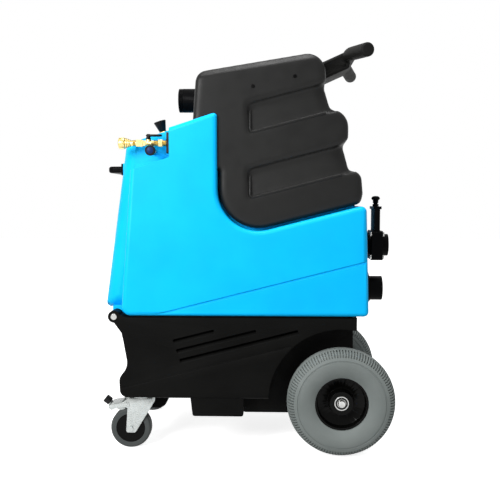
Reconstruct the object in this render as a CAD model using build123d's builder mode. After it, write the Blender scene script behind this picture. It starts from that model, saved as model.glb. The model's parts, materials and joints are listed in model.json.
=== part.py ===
from build123d import *
import os
from math import atan2, cos, degrees, radians, sin, tan

os.makedirs("parts", exist_ok=True)

# Portable carpet extractor, millimetres.
# Forward is -X, the machine's left side is -Y, up is +Z, and Z = 0 is the floor.
# The origin is the middle of the machine's length and width, on the floor.

# Fits and clearances
RUN_CLEAR = 0.06
SEAT_CLEAR = 0.02
GAP = 0.3

# Rear wheels and axle
TYRE_R = 133.0
TYRE_WIDTH = 84.0
TRACK = 406.0
RIM_R = 65.0
RIM_WIDTH = 56.0
HUB_R = 28.0
AXLE_R = 8.0
BEARING_R = 17.5
BEARING_WIDTH = 11.0
HUB_OUT = 24.0
HUB_IN = 32.0
AXLE_CAP_R = 9.5
AXLE_CAP_WALL = 3.0
AXLE_STUB = 5.0
SPACER_R = 11.0
RIM_WALL = 5.0
RIM_DRAFT = 2.0
RIM_BEAD = 2.0
WEB_OUT = 10.0
WEB_HUB = 2.0
WEB_THICK = 7.0
TYRE_WALL_R = 100.0
TREAD_R = 124.0
TREAD_HALF = 33.0
SHIELD_R = (11.0, 14.8)
SHIELD_DEEP = 0.8

# Swivel casters with foot brakes
CASTER_R = 51.0
CASTER_WIDTH = 32.0
CASTER_CORE_R = 36.5
CASTER_AXLE_R = 5.0
CASTER_NUT_R = 8.0
CASTER_NUT = 4.0
CASTER_HEIGHT = 137.0
CASTER_TRACK = 320.0
CASTER_TRAIL = 28.0
WHEELBASE = 527.0
PLATE_LENGTH = 78.0
PLATE_WIDTH = 62.0
PLATE_THICK = 3.0
RACE_R = 27.0
RACE_HEIGHT = 4.0
KINGPIN_R = 7.0
FORK_GAP = 38.0
FORK_THICK = 2.5
CROWN_THICK = 3.5
CROWN_LENGTH = 62.0
LEG_END_R = 12.5
BOLT_R = 4.0
BOLT_HEAD_R = 6.5
BOLT_HEAD = 3.7
BOLT_PITCH_LONG = 65.0
BOLT_PITCH_WIDE = 34.0
KINGPIN_HEAD_R = 11.0
KINGPIN_HEAD = 4.0
CASTER_HUB_R = 12.0
CASTER_EDGE_R = 6.0
PEDAL_REACH = 70.5
PEDAL_PIVOT = 38.0
PEDAL_PIVOT_DROP = 23.0
PEDAL_PIN_R = 3.0
PEDAL_PIN_HEAD_R = 4.8
PEDAL_WIDTH = 30.0
PEDAL_THICK = 4.0

# Base tub
TUB_WIDTH = 420.0
TUB_WALL = 6.0
TUB_RIM_Z = 339.0
TUB_FRONT = 539.0
TUB_SHOULDER_Z = 288.0
TUB_WAIST = 526.5
TUB_WAIST_Z = 215.0
TUB_BUMPER = 549.0
TUB_BUMPER_Z = 186.0
TUB_TOE = 547.0
TUB_REAR = 38.0
TUB_LIP = 4.0
TUB_LIP_Z = 302.0
TUB_EDGE_R = 8.0
TUB_CORNER_R = (0, 60.0, 40.0, 25.0, 20.0, 10.0, 5.0, 5.0, 0)
TUB_INNER_R = 20.0
BELLY_R = 10.0
ARM_ROOT = 10.0
ARM_TOE = 12.0
CREASE_END = 128.0
PANEL_STEP = 3.0
CREASE_FRONT_Z = 160.0
RIM_LIP_INSET = 3.0
WELL_R = 178.0
WELL_HALF = 150.0
BELLY_Z = 87.0
BELLY_FRONT = 246.0
AXLE_RIB = 40.0
FOOT_FRONT = 372.0
FOOT_Z = 92.0
FOOT_OUT = 205.0
FOOT_WIDTH = 70.0
LOBE_INSET = 9.5
LOBE_LENGTH = 66.0
LOBE_HALF = 55.0
LOBE_Z = 68.0
LOBE_R = 24.0
LOUVRES = 3
LOUVRE_WIDTH = 5.0
LOUVRE_FRONT = 411.0
LOUVRE_FRONT_Z = 282.0
LOUVRE_PITCH = 24.3
LOUVRE_STAGGER = 8.0
LOUVRE_TOP_Z = 306.5

# Front hinge of the clamshell
PIN_AHEAD = 559.0
PIN_Z = 340.0
PIN_R = 6.0
PIN_HEAD_R = 7.5
PIN_HEAD = 3.0
KNUCKLE_R = 15.0
ARM_IN = 168.0
LUG_R = 13.0
LUG_IN = 112.0
LUG_OUT = 158.0

# Solution tank
BODY_WIDTH = 440.0
BODY_WALL = 7.0
BODY_BOTTOM_Z = 344.0
BODY_FRONT = 540.0
BODY_FRONT_LEAN = 4.3
BODY_BEHIND = 65.0
BODY_REAR_LEAN = 1.7
BODY_TOE_R = 22.0
BODY_HEEL_R = 12.0
BODY_EDGE_R = 11.0
BODY_INNER_R = 8.0
RAKE = 14.3
LEDGE_REAR_Z = 615.0
LEDGE_R = 13.0
CRADLE_R = 100.0
EAR_AHEAD = 303.0
EAR_TOP_Z = 838.0
EAR_R = 8.0
EAR_THICK = 12.0
PANEL_RAKE = 17.7
BULGE_WIDTH = 320.0
BULGE_FRONT = 596.0
BULGE_BOTTOM_Z = 354.0
BULGE_LEAN = 7.9
BULGE_R = 40.0
BULGE_EDGE_R = 10.0
NOTCH_AHEAD = 418.0
NOTCH_DEEP = 60.0
NOTCH_DROP = 72.0
GROOVE_WIDTH = 5.0
GROOVE_DEEP = 2.5
GROOVE_FRONT = 462.0
PLINTH = 6.0
PLINTH_BACK = 24.0
PLINTH_WIDTH = 340.0

# Recovery tank
TANK_WIDTH = 410.0
TANK_WALL = 7.0
TANK_EDGE_R = 14.0
TANK_GAP = 3.0
NOSE_AHEAD = 363.0
NOSE_Z = 825.0
NOSE_BOTTOM_Z = 700.0
TANK_TOP_Z = 936.0
TANK_TOP_RAKE = 9.0
TANK_FACET = 17.0
TANK_FACET_IN = 13.0
TANK_TOP_REAR = 45.0
TANK_TAIL_BEHIND = 50.0
TANK_TAIL_Z = 640.0
TANK_HEEL_BEHIND = 44.0
TANK_HEEL_R = 15.0
# Corners of the wavy rear from bottom to top: distance behind the axle, height, radius
TANK_WAVES = (
    (45.0, 698.0, 24.0),
    (16.0, 697.5, 4.0),
    (0.0, 762.0, 5.0),
    (13.5, 768.0, 15.0),
    (14.0, 839.0, 44.0),
    (-31.0, 846.0, 5.0),
    (-45.0, 898.0, 6.0),
    (-41.0, 915.0, 20.0),
)
TANK_TAIL_R = 30.0
TANK_TOP_R = 45.0
TANK_NOSE_R = 30.0
TANK_CHIN_R = 16.0
TANK_INNER_R = 20.0
BAND_MARK = 130.0
BAND_FRONT = 230.0
BAND_TOP_Z = (884.0, 726.5)
BAND_HEIGHT = 72.0
BAND_DEEP = 15.5
BAND_DRAFT = 9.5
BAND_REAR = (41.0, -4.0)
BAND_CORNER_R = 34.0

# Lid, standpipe and float collar of the recovery tank
MOUTH_R = 88.0
LID_R = 100.0
LID_PLUG = 12.0
LID_THICK = 8.0
LID_AHEAD = 200.0
LID_GRIP = 10.0
LID_GRIP_LENGTH = 120.0
GASKET_THICK = 3.0
STANDPIPE_R = 30.0
STANDPIPE_WALL = 3.0
STANDPIPE_AHEAD = 172.0
STANDPIPE_TOP_Z = 905.0
TUNNEL_WALL = 6.0
STOP_Z = 780.0
STOP_R = 40.0
STOP_THICK = 6.0
WINDOW_HEIGHT = 36.0
WINDOW_WIDTH = 24.0
FLOAT_R = 46.0
FLOAT_HEIGHT = 42.0
FLOAT_TRAVEL = 55.0

# Vacuum inlet cuff
CUFF_Z = 892.0
CUFF_R = 31.5
CUFF_BORE_R = 24.0
CUFF_HOLE = 4.0
CUFF_REACH = 66.0
CUFF_END = 12.0
CUFF_FLANGE_R = 40.0
CUFF_FLANGE = 8.0
CUFF_THREADS = 4
CUFF_THREAD_DEEP = 1.5

# Push handle
HANDLE_SEAT_AHEAD = 52.0
HANDLE_NECK_WIDTH = 120.0
HANDLE_FLANGE_WIDTH = 164.0
HANDLE_FLANGE = 8.0
HANDLE_DROP = 7.0
HANDLE_HEIGHT = 47.0
HANDLE_RISE = 24.0
HANDLE_BOLT_RISE = 10.0
HANDLE_BOLT_PITCH = 27.0
GRIP_R = 17.0
GRIP_BEHIND = 27.0
GRIP_LIFT = 19.0
GRIP_INSET = 5.0
GRIP_SWEEP = 31.0
GRIP_DROP = 11.0
GRIP_KNEE = 85.0
GRIP_BEND_R = 120.0
GRIP_END_R = 6.0
NECK_REST = 9.0
NECK_STEP = 4.0
NECK_UNDER = 24.0
NECK_TAIL = 14.0
NECK_EDGE_R = 6.0

# Screws and bolts shared by the upper body
SCREW_R = 2.0
SCREW_HEAD_R = 4.5
SCREW_HEAD = 2.5
SCREW_LENGTH = 11.0
TANK_SCREW_PLACES = ((217.0, 899.0), (116.5, 922.0))
CAP_BOLT_R = 4.0
CAP_BOLT_HEAD_R = 6.5
CAP_BOLT_HEAD = 5.0

# Solution line in the notch
LINE_IN = 25.0
LINE_Z = 764.6
PLATE_WALL = 7.5
PLATE_HEIGHT = 51.0
PLATE_DEPTH = 50.0
PLATE_SCREW_IN = 7.0
LINE_BORE_R = 4.0
NIPPLE_LENGTH = 32.0
NIPPLE_HEX_R = 9.8
NIPPLE_TUBE_R = 6.2
VALVE_LENGTH = 27.0
VALVE_R = 7.5
VALVE_HEX = 6.0
LEVER_STEM_R = 4.0
LEVER_NECK_R = 6.4
LEVER_TAPER = 12.0
LEVER_RISE = 18.5
VALVE_NECK = 8.5
LEVER_THICK = 3.5
LEVER_WIDTH = 12.0
LEVER_BACK = 32.0
COUPLER_LENGTH = 60.0
COUPLER_R = 7.0
COUPLER_HEX = 15.5
COUPLER_BORE_R = 5.0
# Rings of the sleeve from its front: radius and length
SLEEVE_RINGS = ((14.0, 16.0), (12.2, 4.0), (10.8, 4.0), (9.4, 4.0))
SLEEVE_SETBACK = 1.0
PRIME_AHEAD = 464.0
PRIME_Z = 746.0
PRIME_BODY_R = 7.0
PRIME_BODY = 12.0
PRIME_STEM_R = 3.0
PRIME_KNOB_R = 12.5
PRIME_KNOB = 10.0
PRIME_KNOB_OUT = 57.0
REGULATOR_AHEAD = 445.0
REGULATOR_Y = -120.0
REGULATOR_NUT_R = 11.0
REGULATOR_NUT = 6.0
REGULATOR_STEM_R = 3.0
REGULATOR_KNOB_R = 15.5
REGULATOR_NECK_R = 8.0
REGULATOR_KNOB = 33.0

# Switch panel, rockers and fill cap on the sloped top
SWITCHES = 3
SWITCH_PITCH = 34.0
SWITCH_AHEAD = 440.0
SWITCH_Y = -12.0
BEZEL_LENGTH = 46.0
BEZEL_WIDTH = 116.0
BEZEL_THICK = 9.0
ROCKER_LENGTH = 24.0
ROCKER_WIDTH = 18.0
ROCKER_CROWN = 4.0
ROCKER_PIN_R = 1.5
ROCKER_PIN = 2.0
ROCKER_GAP = 1.5
ROCKER_SINK = 3.0
BEZEL_R = 5.0
FILL_AHEAD = 462.0
FILL_Y = 95.0
FILL_MOUTH_R = 25.0
FILL_CAP_R = 32.0
FILL_CAP = 12.0
FILL_PLUG = 9.0

# Front lift handle
LIFT_Z = 705.0
LIFT_REACH = 43.0
LIFT_BAR = 17.0
LIFT_HEIGHT = 17.0
LIFT_EDGE_R = 6.0
LIFT_SPAN = 170.0
LIFT_LEG = 22.0
LIFT_PAD_HEIGHT = 30.0
LIFT_PAD_WIDTH = 46.0
LIFT_PAD = 5.0
LIFT_BOSS = 7.0

# Ports on the rear wall: drain gate valve and exhaust port
PORT_Y = -90.0
PORT_BOSS = 3.0
GATE_Z = 511.5
GATE_BORE_R = 22.0
GATE_SPIGOT_R = 25.0
GATE_FLANGE_R = 34.0
GATE_FLANGE = 7.0
GATE_NECK_R = 27.0
GATE_NECK = 3.0
GATE_THICK = 34.0
GATE_WIDTH = 84.0
GATE_HEIGHT = 74.0
GATE_STUB_R = 28.0
GATE_STUB = 14.0
BLADE_THICK = 4.0
BLADE_WIDTH = 56.0
BLADE_SIDE_GAP = 1.0
BLADE_TOP = 34.0
BONNET_HEIGHT = 55.0
BONNET_THICK = 22.0
BONNET_WIDTH = 68.0
CROSS_THICK = 28.0
CROSS_WIDTH = 76.0
CROSS_HEIGHT = 7.0
GATE_STEM_R = 5.0
GATE_KNOB_Z = 632.0
GATE_KNOB_R = 11.0
GATE_KNOB = 11.0
GATE_BOLT_R = 3.5
GATE_NUT_R = 6.0
GATE_BOLT_Y = 36.0
GATE_BOLT_Z = 29.0
EXHAUST_Z = 400.0
EXHAUST_FLANGE_R = 42.0
EXHAUST_FLANGE = 9.0
EXHAUST_R = 31.0
EXHAUST_BORE_R = 27.0
EXHAUST_PIPE = 35.0
EXHAUST_BOSS_R = 46.0
EXHAUST_SCREW_R = 36.8
EXHAUST_SCREW_TURNS = (45.0, 135.0, 225.0, 315.0)

# Motors and pump inside the base
MOTOR_AHEAD = 292.0
MOTOR_Y = 88.0
MOTOR_R = 44.0
FAN_R = 72.0
FAN_EYE_R = 26.0
MOTOR_HEIGHT = 72.0
FAN_STAGE = 25.0
FAN_STAGES = 3
FAN_SEAM = 3.0
PLENUM_HEIGHT = 42.0
PLENUM_WALL = 4.0
PLENUM_MARGIN = 40.0
PLENUM_SEAL_R = 42.0
PUMP_R = 50.0
PUMP_LENGTH = 110.0
PUMP_FRONT = 152.0
PUMP_CLEAR = 10.0
PUMP_FOOT_WIDTH = 75.0
PUMP_HEAD_LENGTH = 50.0
PUMP_HEAD_WIDTH = 84.0
PUMP_HEAD_HEIGHT = 78.0
PUMP_PORT_R = 9.0
PUMP_PORT = 16.0

# Places worked out from the driving sizes
AXLE_X = (WHEELBASE + PEDAL_REACH - TYRE_R) / 2


def ahead(distance):
    """X of a place that lies this far ahead of the rear axle."""
    return AXLE_X - distance


def slope(angle):
    """Rise over run of a slope given in degrees."""
    return tan(radians(angle))


def raked(x, y, z, rake):
    """A plane at a place, tipped up towards the rear by the rake angle."""
    turn = radians(rake)
    return Plane(origin=(x, y, z), x_dir=(cos(turn), 0, sin(turn)), z_dir=(-sin(turn), 0, cos(turn)))


AXLE_Z = TYRE_R
CASTER_X = ahead(WHEELBASE)
KINGPIN_X = CASTER_X + CASTER_TRAIL
PIN_X = ahead(PIN_AHEAD)
TUB_FLOOR_Z = CASTER_HEIGHT
TUB_REAR_X = ahead(-TUB_REAR)
TUB_HALF = TUB_WIDTH / 2
BODY_HALF = BODY_WIDTH / 2
BODY_FRONT_X = ahead(BODY_FRONT)
BODY_REAR_X = ahead(-BODY_BEHIND)
LEDGE_REAR_X = BODY_REAR_X - (LEDGE_REAR_Z - BODY_BOTTOM_Z) * slope(BODY_REAR_LEAN)
EAR_X = ahead(EAR_AHEAD)
TANK_HALF = TANK_WIDTH / 2
SIDES = {"left": -1, "right": 1}


def ledge_z(x):
    """Height of the sloped ledge that carries the recovery tank."""
    return LEDGE_REAR_Z - (LEDGE_REAR_X - x) * slope(RAKE)


def panel_z(x):
    """Height of the sloped top panel ahead of the recovery tank."""
    return EAR_TOP_Z - (EAR_X - x) * slope(PANEL_RAKE)


def bulge_x(z):
    """Front face of the narrower front bulge at this height."""
    return ahead(BULGE_FRONT) + (z - BULGE_BOTTOM_Z) * slope(BULGE_LEAN)


def meet(x0, z0, lean):
    """Where a wall leaning back from (x0, z0) meets the sloped top panel."""
    run = slope(lean)
    rise = slope(PANEL_RAKE)
    x = (x0 + (EAR_TOP_Z - EAR_X * rise - z0) * run) / (1 - rise * run)
    return x, panel_z(x)


def rod_x(y, z, radius, x0, x1, mode=Mode.ADD):
    """A round bar along X between two places."""
    with Locations(((x0 + x1) / 2, y, z)):
        Cylinder(radius, x1 - x0, rotation=(0, 90, 0), mode=mode)


def rod_y(x, z, radius, y0, y1, mode=Mode.ADD):
    """A round bar along Y between two places."""
    with Locations((x, (y0 + y1) / 2, z)):
        Cylinder(radius, abs(y1 - y0), rotation=(90, 0, 0), mode=mode)


def rod_z(x, y, radius, z0, z1, mode=Mode.ADD):
    """A round bar along Z between two heights."""
    with Locations((x, y, (z0 + z1) / 2)):
        Cylinder(radius, z1 - z0, mode=mode)


def stud(seat, radius, low, high, mode=Mode.ADD):
    """A round bar square to a seat plane, from low to high along its normal."""
    with Locations(seat.location * Location((0, 0, (low + high) / 2))):
        Cylinder(radius, high - low, mode=mode)


def save(piece, name):
    """Label a finished piece and write it."""
    piece.part.label = name
    export_step(piece.part, f"parts/{name}.step")


CASTER_BOLTS = [
    (KINGPIN_X + dx * BOLT_PITCH_LONG / 2, side * CASTER_TRACK / 2 + dy * BOLT_PITCH_WIDE / 2)
    for side in SIDES.values()
    for dx in (-1, 1)
    for dy in (-1, 1)
]

# Base tub: hollow moulding, open at the top, with arches over the rear wheels
tub_outline = [
    (ahead(TUB_FRONT), TUB_RIM_Z),
    (ahead(TUB_FRONT), TUB_SHOULDER_Z),
    (ahead(TUB_WAIST), TUB_WAIST_Z),
    (ahead(TUB_BUMPER), TUB_BUMPER_Z),
    (ahead(TUB_TOE), TUB_FLOOR_Z),
    (TUB_REAR_X - TUB_LIP, TUB_FLOOR_Z),
    (TUB_REAR_X - TUB_LIP, TUB_LIP_Z),
    (TUB_REAR_X, TUB_LIP_Z + TUB_LIP),
    (TUB_REAR_X, TUB_RIM_Z),
]
LOBE_FRONT = TUB_WAIST - LOBE_INSET
LOBE_REAR = LOBE_FRONT - LOBE_LENGTH
TUB_INNER_FRONT_X = ahead(TUB_WAIST) + TUB_WALL
TUB_INNER_REAR_X = TUB_REAR_X - TUB_LIP - TUB_WALL
TUB_INNER_HALF = TUB_HALF - PANEL_STEP - TUB_WALL
TUB_INNER_MID_X = (TUB_INNER_FRONT_X + TUB_INNER_REAR_X) / 2
TUB_INNER_LENGTH = TUB_INNER_REAR_X - TUB_INNER_FRONT_X
BELLY_FRONT_X = ahead(BELLY_FRONT)
FOOT_FRONT_X = ahead(FOOT_FRONT)
FOOT_DRAFT = 6.0
FOOT_R = 6.0
RIM_LIP = BODY_BOTTOM_Z - GAP - TUB_RIM_Z

with BuildPart() as tub_hollow:
    with BuildSketch(Plane.XY.offset(TUB_FLOOR_Z + TUB_WALL)):
        with Locations((TUB_INNER_MID_X, 0)):
            RectangleRounded(TUB_INNER_LENGTH, 2 * TUB_INNER_HALF, TUB_INNER_R)
    extrude(amount=BODY_BOTTOM_Z - TUB_FLOOR_Z)
    for side in SIDES.values():
        with BuildSketch(Plane.XZ.offset(-side * (WELL_HALF - TUB_WALL))):
            with Locations((AXLE_X, AXLE_Z)):
                Circle(WELL_R + TUB_WALL)
        extrude(amount=-side * TUB_HALF, mode=Mode.SUBTRACT)
    with BuildSketch(Plane.XZ):
        with BuildLine():
            FilletPolyline(
                (BELLY_FRONT_X + TUB_WALL, TUB_FLOOR_Z + 2 * TUB_WALL),
                (BELLY_FRONT_X + TUB_WALL, BELLY_Z + TUB_WALL),
                (AXLE_X - AXLE_RIB / 2, BELLY_Z + TUB_WALL),
                (AXLE_X - AXLE_RIB / 2, TUB_FLOOR_Z + 2 * TUB_WALL),
                radius=4,
                close=True,
            )
        make_face()
    extrude(amount=WELL_HALF - TUB_WALL, both=True)
    with BuildSketch(Plane.XZ):
        with BuildLine():
            FilletPolyline(
                (TUB_INNER_FRONT_X, TUB_FLOOR_Z + 2 * TUB_WALL),
                (TUB_INNER_FRONT_X, LOBE_Z + TUB_WALL),
                (ahead(LOBE_REAR) - TUB_WALL, LOBE_Z + TUB_WALL),
                (ahead(LOBE_REAR) - TUB_WALL, TUB_FLOOR_Z + 2 * TUB_WALL),
                radius=[0, LOBE_R - TUB_WALL, LOBE_R - TUB_WALL, 0],
                close=True,
            )
        make_face()
    extrude(amount=LOBE_HALF - TUB_WALL, both=True)

with BuildPart() as base_tub:
    with BuildSketch(Plane.XZ):
        with BuildLine():
            FilletPolyline(*tub_outline, radius=TUB_CORNER_R, close=True)
        make_face()
    extrude(amount=TUB_HALF, both=True)
    side_faces = base_tub.faces().filter_by(Axis.Y)
    rim_edges = base_tub.edges().filter_by_position(Axis.Z, TUB_RIM_Z, TUB_RIM_Z)
    fillet(side_faces.edges() - rim_edges, TUB_EDGE_R)
    # The upper side panels step in above a crease that climbs to the wheel arches
    for side in SIDES.values():
        crease_end_z = CREASE_FRONT_Z + (ahead(CREASE_END) - ahead(TUB_BUMPER)) * slope(RAKE)
        with BuildSketch(Plane.XZ.offset(-side * (TUB_HALF - PANEL_STEP))):
            with BuildLine():
                Polyline(
                    (ahead(TUB_BUMPER) - 1, CREASE_FRONT_Z),
                    (ahead(CREASE_END), crease_end_z),
                    (TUB_REAR_X + 1, crease_end_z),
                    (TUB_REAR_X + 1, TUB_RIM_Z + 1),
                    (ahead(TUB_BUMPER) - 1, TUB_RIM_Z + 1),
                    close=True,
                )
            make_face()
        extrude(amount=-side * 2 * PANEL_STEP, mode=Mode.SUBTRACT)
    for side in SIDES.values():
        with BuildSketch(Plane.XZ.offset(-side * WELL_HALF)):
            with Locations((AXLE_X, AXLE_Z)):
                Circle(WELL_R)
        extrude(amount=-side * TUB_HALF, mode=Mode.SUBTRACT)
    # Belly between the wheels, carrying the axle
    with BuildSketch(Plane.XZ):
        with BuildLine():
            FilletPolyline(
                (BELLY_FRONT_X, TUB_FLOOR_Z + TUB_WALL),
                (BELLY_FRONT_X, BELLY_Z),
                (TUB_REAR_X - TUB_LIP, BELLY_Z),
                (TUB_REAR_X - TUB_LIP, TUB_FLOOR_Z + TUB_WALL),
                radius=[0, BELLY_R, BELLY_R, 0],
                close=True,
            )
        make_face()
    extrude(amount=WELL_HALF, both=True)
    # Skid feet ahead of the rear wheels
    for side in SIDES.values():
        with BuildSketch(Plane.XZ.offset(-side * (FOOT_OUT - FOOT_WIDTH))):
            with BuildLine():
                FilletPolyline(
                    (FOOT_FRONT_X, TUB_FLOOR_Z + TUB_WALL),
                    (FOOT_FRONT_X + FOOT_DRAFT, FOOT_Z),
                    (BELLY_FRONT_X + TUB_WALL, FOOT_Z),
                    (BELLY_FRONT_X + TUB_WALL, TUB_FLOOR_Z + TUB_WALL),
                    radius=[0, FOOT_R, FOOT_R, 0],
                    close=True,
                )
            make_face()
        extrude(amount=-side * FOOT_WIDTH)
    # Sump lobe between the casters
    with BuildSketch(Plane.XZ):
        with BuildLine():
            FilletPolyline(
                (ahead(LOBE_FRONT), TUB_FLOOR_Z + TUB_WALL),
                (ahead(LOBE_FRONT), LOBE_Z),
                (ahead(LOBE_REAR), LOBE_Z),
                (ahead(LOBE_REAR), TUB_FLOOR_Z + TUB_WALL),
                radius=[0, LOBE_R, LOBE_R, 0],
                close=True,
            )
        make_face()
    extrude(amount=LOBE_HALF, both=True)
    add(tub_hollow.part, mode=Mode.SUBTRACT)
    # Lip that the upper body closes onto
    with BuildSketch(Plane.XY.offset(TUB_RIM_Z)):
        with Locations((TUB_INNER_MID_X, 0)):
            RectangleRounded(
                TUB_INNER_LENGTH + 2 * RIM_LIP_INSET,
                2 * (TUB_INNER_HALF + RIM_LIP_INSET),
                TUB_INNER_R + RIM_LIP_INSET,
            )
            RectangleRounded(TUB_INNER_LENGTH, 2 * TUB_INNER_HALF, TUB_INNER_R, mode=Mode.SUBTRACT)
    extrude(amount=RIM_LIP)
    # Louvre slots in both sides, parallel to the crease
    with BuildSketch(Plane.XZ):
        for row in range(LOUVRES):
            front_x = ahead(LOUVRE_FRONT) + row * LOUVRE_STAGGER
            front_z = LOUVRE_FRONT_Z - row * LOUVRE_PITCH
            run_z = LOUVRE_TOP_Z - front_z
            run_x = run_z / slope(RAKE)
            with Locations((front_x + run_x / 2, front_z + run_z / 2)):
                SlotCenterToCenter(run_z / sin(radians(RAKE)), LOUVRE_WIDTH, rotation=RAKE)
    extrude(amount=TUB_WIDTH, both=True, mode=Mode.SUBTRACT)
    # Knuckle arms of the front hinge
    for side in SIDES.values():
        with BuildSketch(Plane.XZ.offset(-side * ARM_IN)):
            with Locations((PIN_X, PIN_Z)):
                Circle(KNUCKLE_R)
            with BuildLine():
                Polyline(
                    (PIN_X, PIN_Z - KNUCKLE_R),
                    (ahead(TUB_FRONT) - 2, TUB_SHOULDER_Z + ARM_TOE),
                    (ahead(TUB_FRONT) + 2, TUB_SHOULDER_Z - ARM_TOE / 2),
                    (ahead(TUB_FRONT) + ARM_ROOT, TUB_SHOULDER_Z - ARM_TOE / 2),
                    (ahead(TUB_FRONT) + ARM_ROOT, TUB_RIM_Z - 1),
                    (PIN_X + KNUCKLE_R / 2, PIN_Z + KNUCKLE_R / 2),
                    close=True,
                )
            make_face()
        extrude(amount=-side * (TUB_HALF - PANEL_STEP - ARM_IN))
    rod_y(PIN_X, PIN_Z, PIN_R + SEAT_CLEAR, -TUB_WIDTH, TUB_WIDTH, Mode.SUBTRACT)
    rod_y(AXLE_X, AXLE_Z, AXLE_R + SEAT_CLEAR, -TUB_WIDTH, TUB_WIDTH, Mode.SUBTRACT)
    for x, y in CASTER_BOLTS:
        rod_z(x, y, BOLT_R + SEAT_CLEAR, TUB_FLOOR_Z - TUB_WALL, TUB_FLOOR_Z + TUB_WALL, Mode.SUBTRACT)
save(base_tub, "base_tub")

# Solution tank: hollow blue moulding, the upper half of the clamshell
body_top = meet(BODY_FRONT_X, BODY_BOTTOM_Z, BODY_FRONT_LEAN)
bulge_top = meet(ahead(BULGE_FRONT), BULGE_BOTTOM_Z, BULGE_LEAN)
NOTCH_X = ahead(NOTCH_AHEAD)
NOTCH_Y = -BODY_HALF + NOTCH_DEEP


def nose_x(z):
    """Front face of the recovery tank's nose at this height."""
    return ahead(NOSE_AHEAD) + (z - NOSE_Z) * slope(BODY_FRONT_LEAN)


TANK_FRONT_X = EAR_X + TANK_GAP
TANK_REAR_X = ahead(TANK_TOP_REAR)
TANK_HEEL_X = ahead(-TANK_HEEL_BEHIND)


def tank_floor_z(x):
    """Height of the recovery tank's underside, on the plinth."""
    return ledge_z(x) + PLINTH / cos(radians(RAKE))


def tank_top_z(x):
    """Height of the recovery tank's sloped top."""
    return TANK_TOP_Z + (x - nose_x(TANK_TOP_Z)) * slope(TANK_TOP_RAKE)


tank_outline = [
    (TANK_FRONT_X, tank_floor_z(TANK_FRONT_X)),
    (TANK_HEEL_X, tank_floor_z(TANK_HEEL_X)),
    (ahead(-TANK_TAIL_BEHIND), TANK_TAIL_Z),
    *[(ahead(-behind), z) for behind, z, _ in TANK_WAVES],
    (TANK_REAR_X, tank_top_z(TANK_REAR_X)),
    (nose_x(TANK_TOP_Z), TANK_TOP_Z),
    (nose_x(NOSE_BOTTOM_Z), NOSE_BOTTOM_Z),
    (TANK_FRONT_X, NOSE_BOTTOM_Z),
]
tank_radii = [
    CRADLE_R - TANK_GAP,
    TANK_HEEL_R,
    TANK_TAIL_R,
    *[radius for _, _, radius in TANK_WAVES],
    TANK_TOP_R,
    TANK_NOSE_R,
    TANK_CHIN_R,
    TANK_GAP,
]


def notch_outline(grow):
    """Side view of the corner notch, grown by a wall."""
    rear = NOTCH_X + grow
    front = ahead(BULGE_FRONT) - 2 * BODY_WALL
    low = NOTCH_DROP + grow
    return [
        (rear, panel_z(rear) + low),
        (rear, panel_z(rear) - low),
        (front, panel_z(front) - low),
        (front, panel_z(rear) + low),
    ]


STANDPIPE_X = ahead(STANDPIPE_AHEAD)
POCKET_HALF = BODY_HALF - EAR_THICK
POCKET_FLOOR_Z = NOSE_BOTTOM_Z - TANK_GAP

PORT_FACE_X = BODY_REAR_X + PORT_BOSS
LIFT_FACE_X = bulge_x(LIFT_Z) - LIFT_BOSS
LIFT_PAD_Y = (LIFT_SPAN - LIFT_LEG) / 2
FILL_SEAT = raked(ahead(FILL_AHEAD), FILL_Y, panel_z(ahead(FILL_AHEAD)), PANEL_RAKE)
EXHAUST_SCREWS = [
    Plane(
        origin=(
            PORT_FACE_X + EXHAUST_FLANGE,
            PORT_Y + EXHAUST_SCREW_R * cos(radians(angle)),
            EXHAUST_Z + EXHAUST_SCREW_R * sin(radians(angle)),
        ),
        z_dir=(1, 0, 0),
    )
    for angle in EXHAUST_SCREW_TURNS
]
LIFT_SCREWS = [
    Plane(origin=(LIFT_FACE_X - LIFT_PAD, side * (LIFT_PAD_Y + dy), LIFT_Z), z_dir=(-1, 0, 0))
    for side in SIDES.values()
    for dy in (-LIFT_PAD_WIDTH / 2 + SCREW_HEAD_R + 1, LIFT_PAD_WIDTH / 2 - SCREW_HEAD_R - 1)
]
LINE_Y = LINE_IN - BODY_HALF
PLATE_X = NOTCH_X - PLATE_WALL
PLATE_SCREWS = [
    Plane(origin=(PLATE_X, NOTCH_Y - PLATE_SCREW_IN, LINE_Z + dz), z_dir=(-1, 0, 0))
    for dz in (PLATE_SCREW_IN - PLATE_HEIGHT / 2, PLATE_HEIGHT / 2 - PLATE_SCREW_IN)
]
TANK_SCREWS = [
    Plane(origin=(ahead(distance), side * TANK_HALF, z), z_dir=(0, side, 0))
    for side in SIDES.values()
    for distance, z in TANK_SCREW_PLACES
]

with BuildPart() as front_bulge:
    with BuildSketch(Plane.XZ):
        with BuildLine():
            FilletPolyline(
                (ahead(BULGE_FRONT), BULGE_BOTTOM_Z),
                (BODY_FRONT_X + 2 * BODY_TOE_R, BULGE_BOTTOM_Z),
                (NOTCH_X, panel_z(NOTCH_X)),
                bulge_top,
                radius=[BULGE_EDGE_R, 0, 0, BULGE_EDGE_R],
                close=True,
            )
        make_face()
    extrude(amount=BULGE_WIDTH / 2, both=True)
    straight_edges = front_bulge.edges().filter_by(GeomType.LINE)
    front_edges = straight_edges.filter_by(lambda e: e.center().X < BODY_FRONT_X)
    fillet(front_edges.filter_by(lambda e: abs(e.tangent_at(0).Z) > abs(e.tangent_at(0).X)), BULGE_R)

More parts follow.
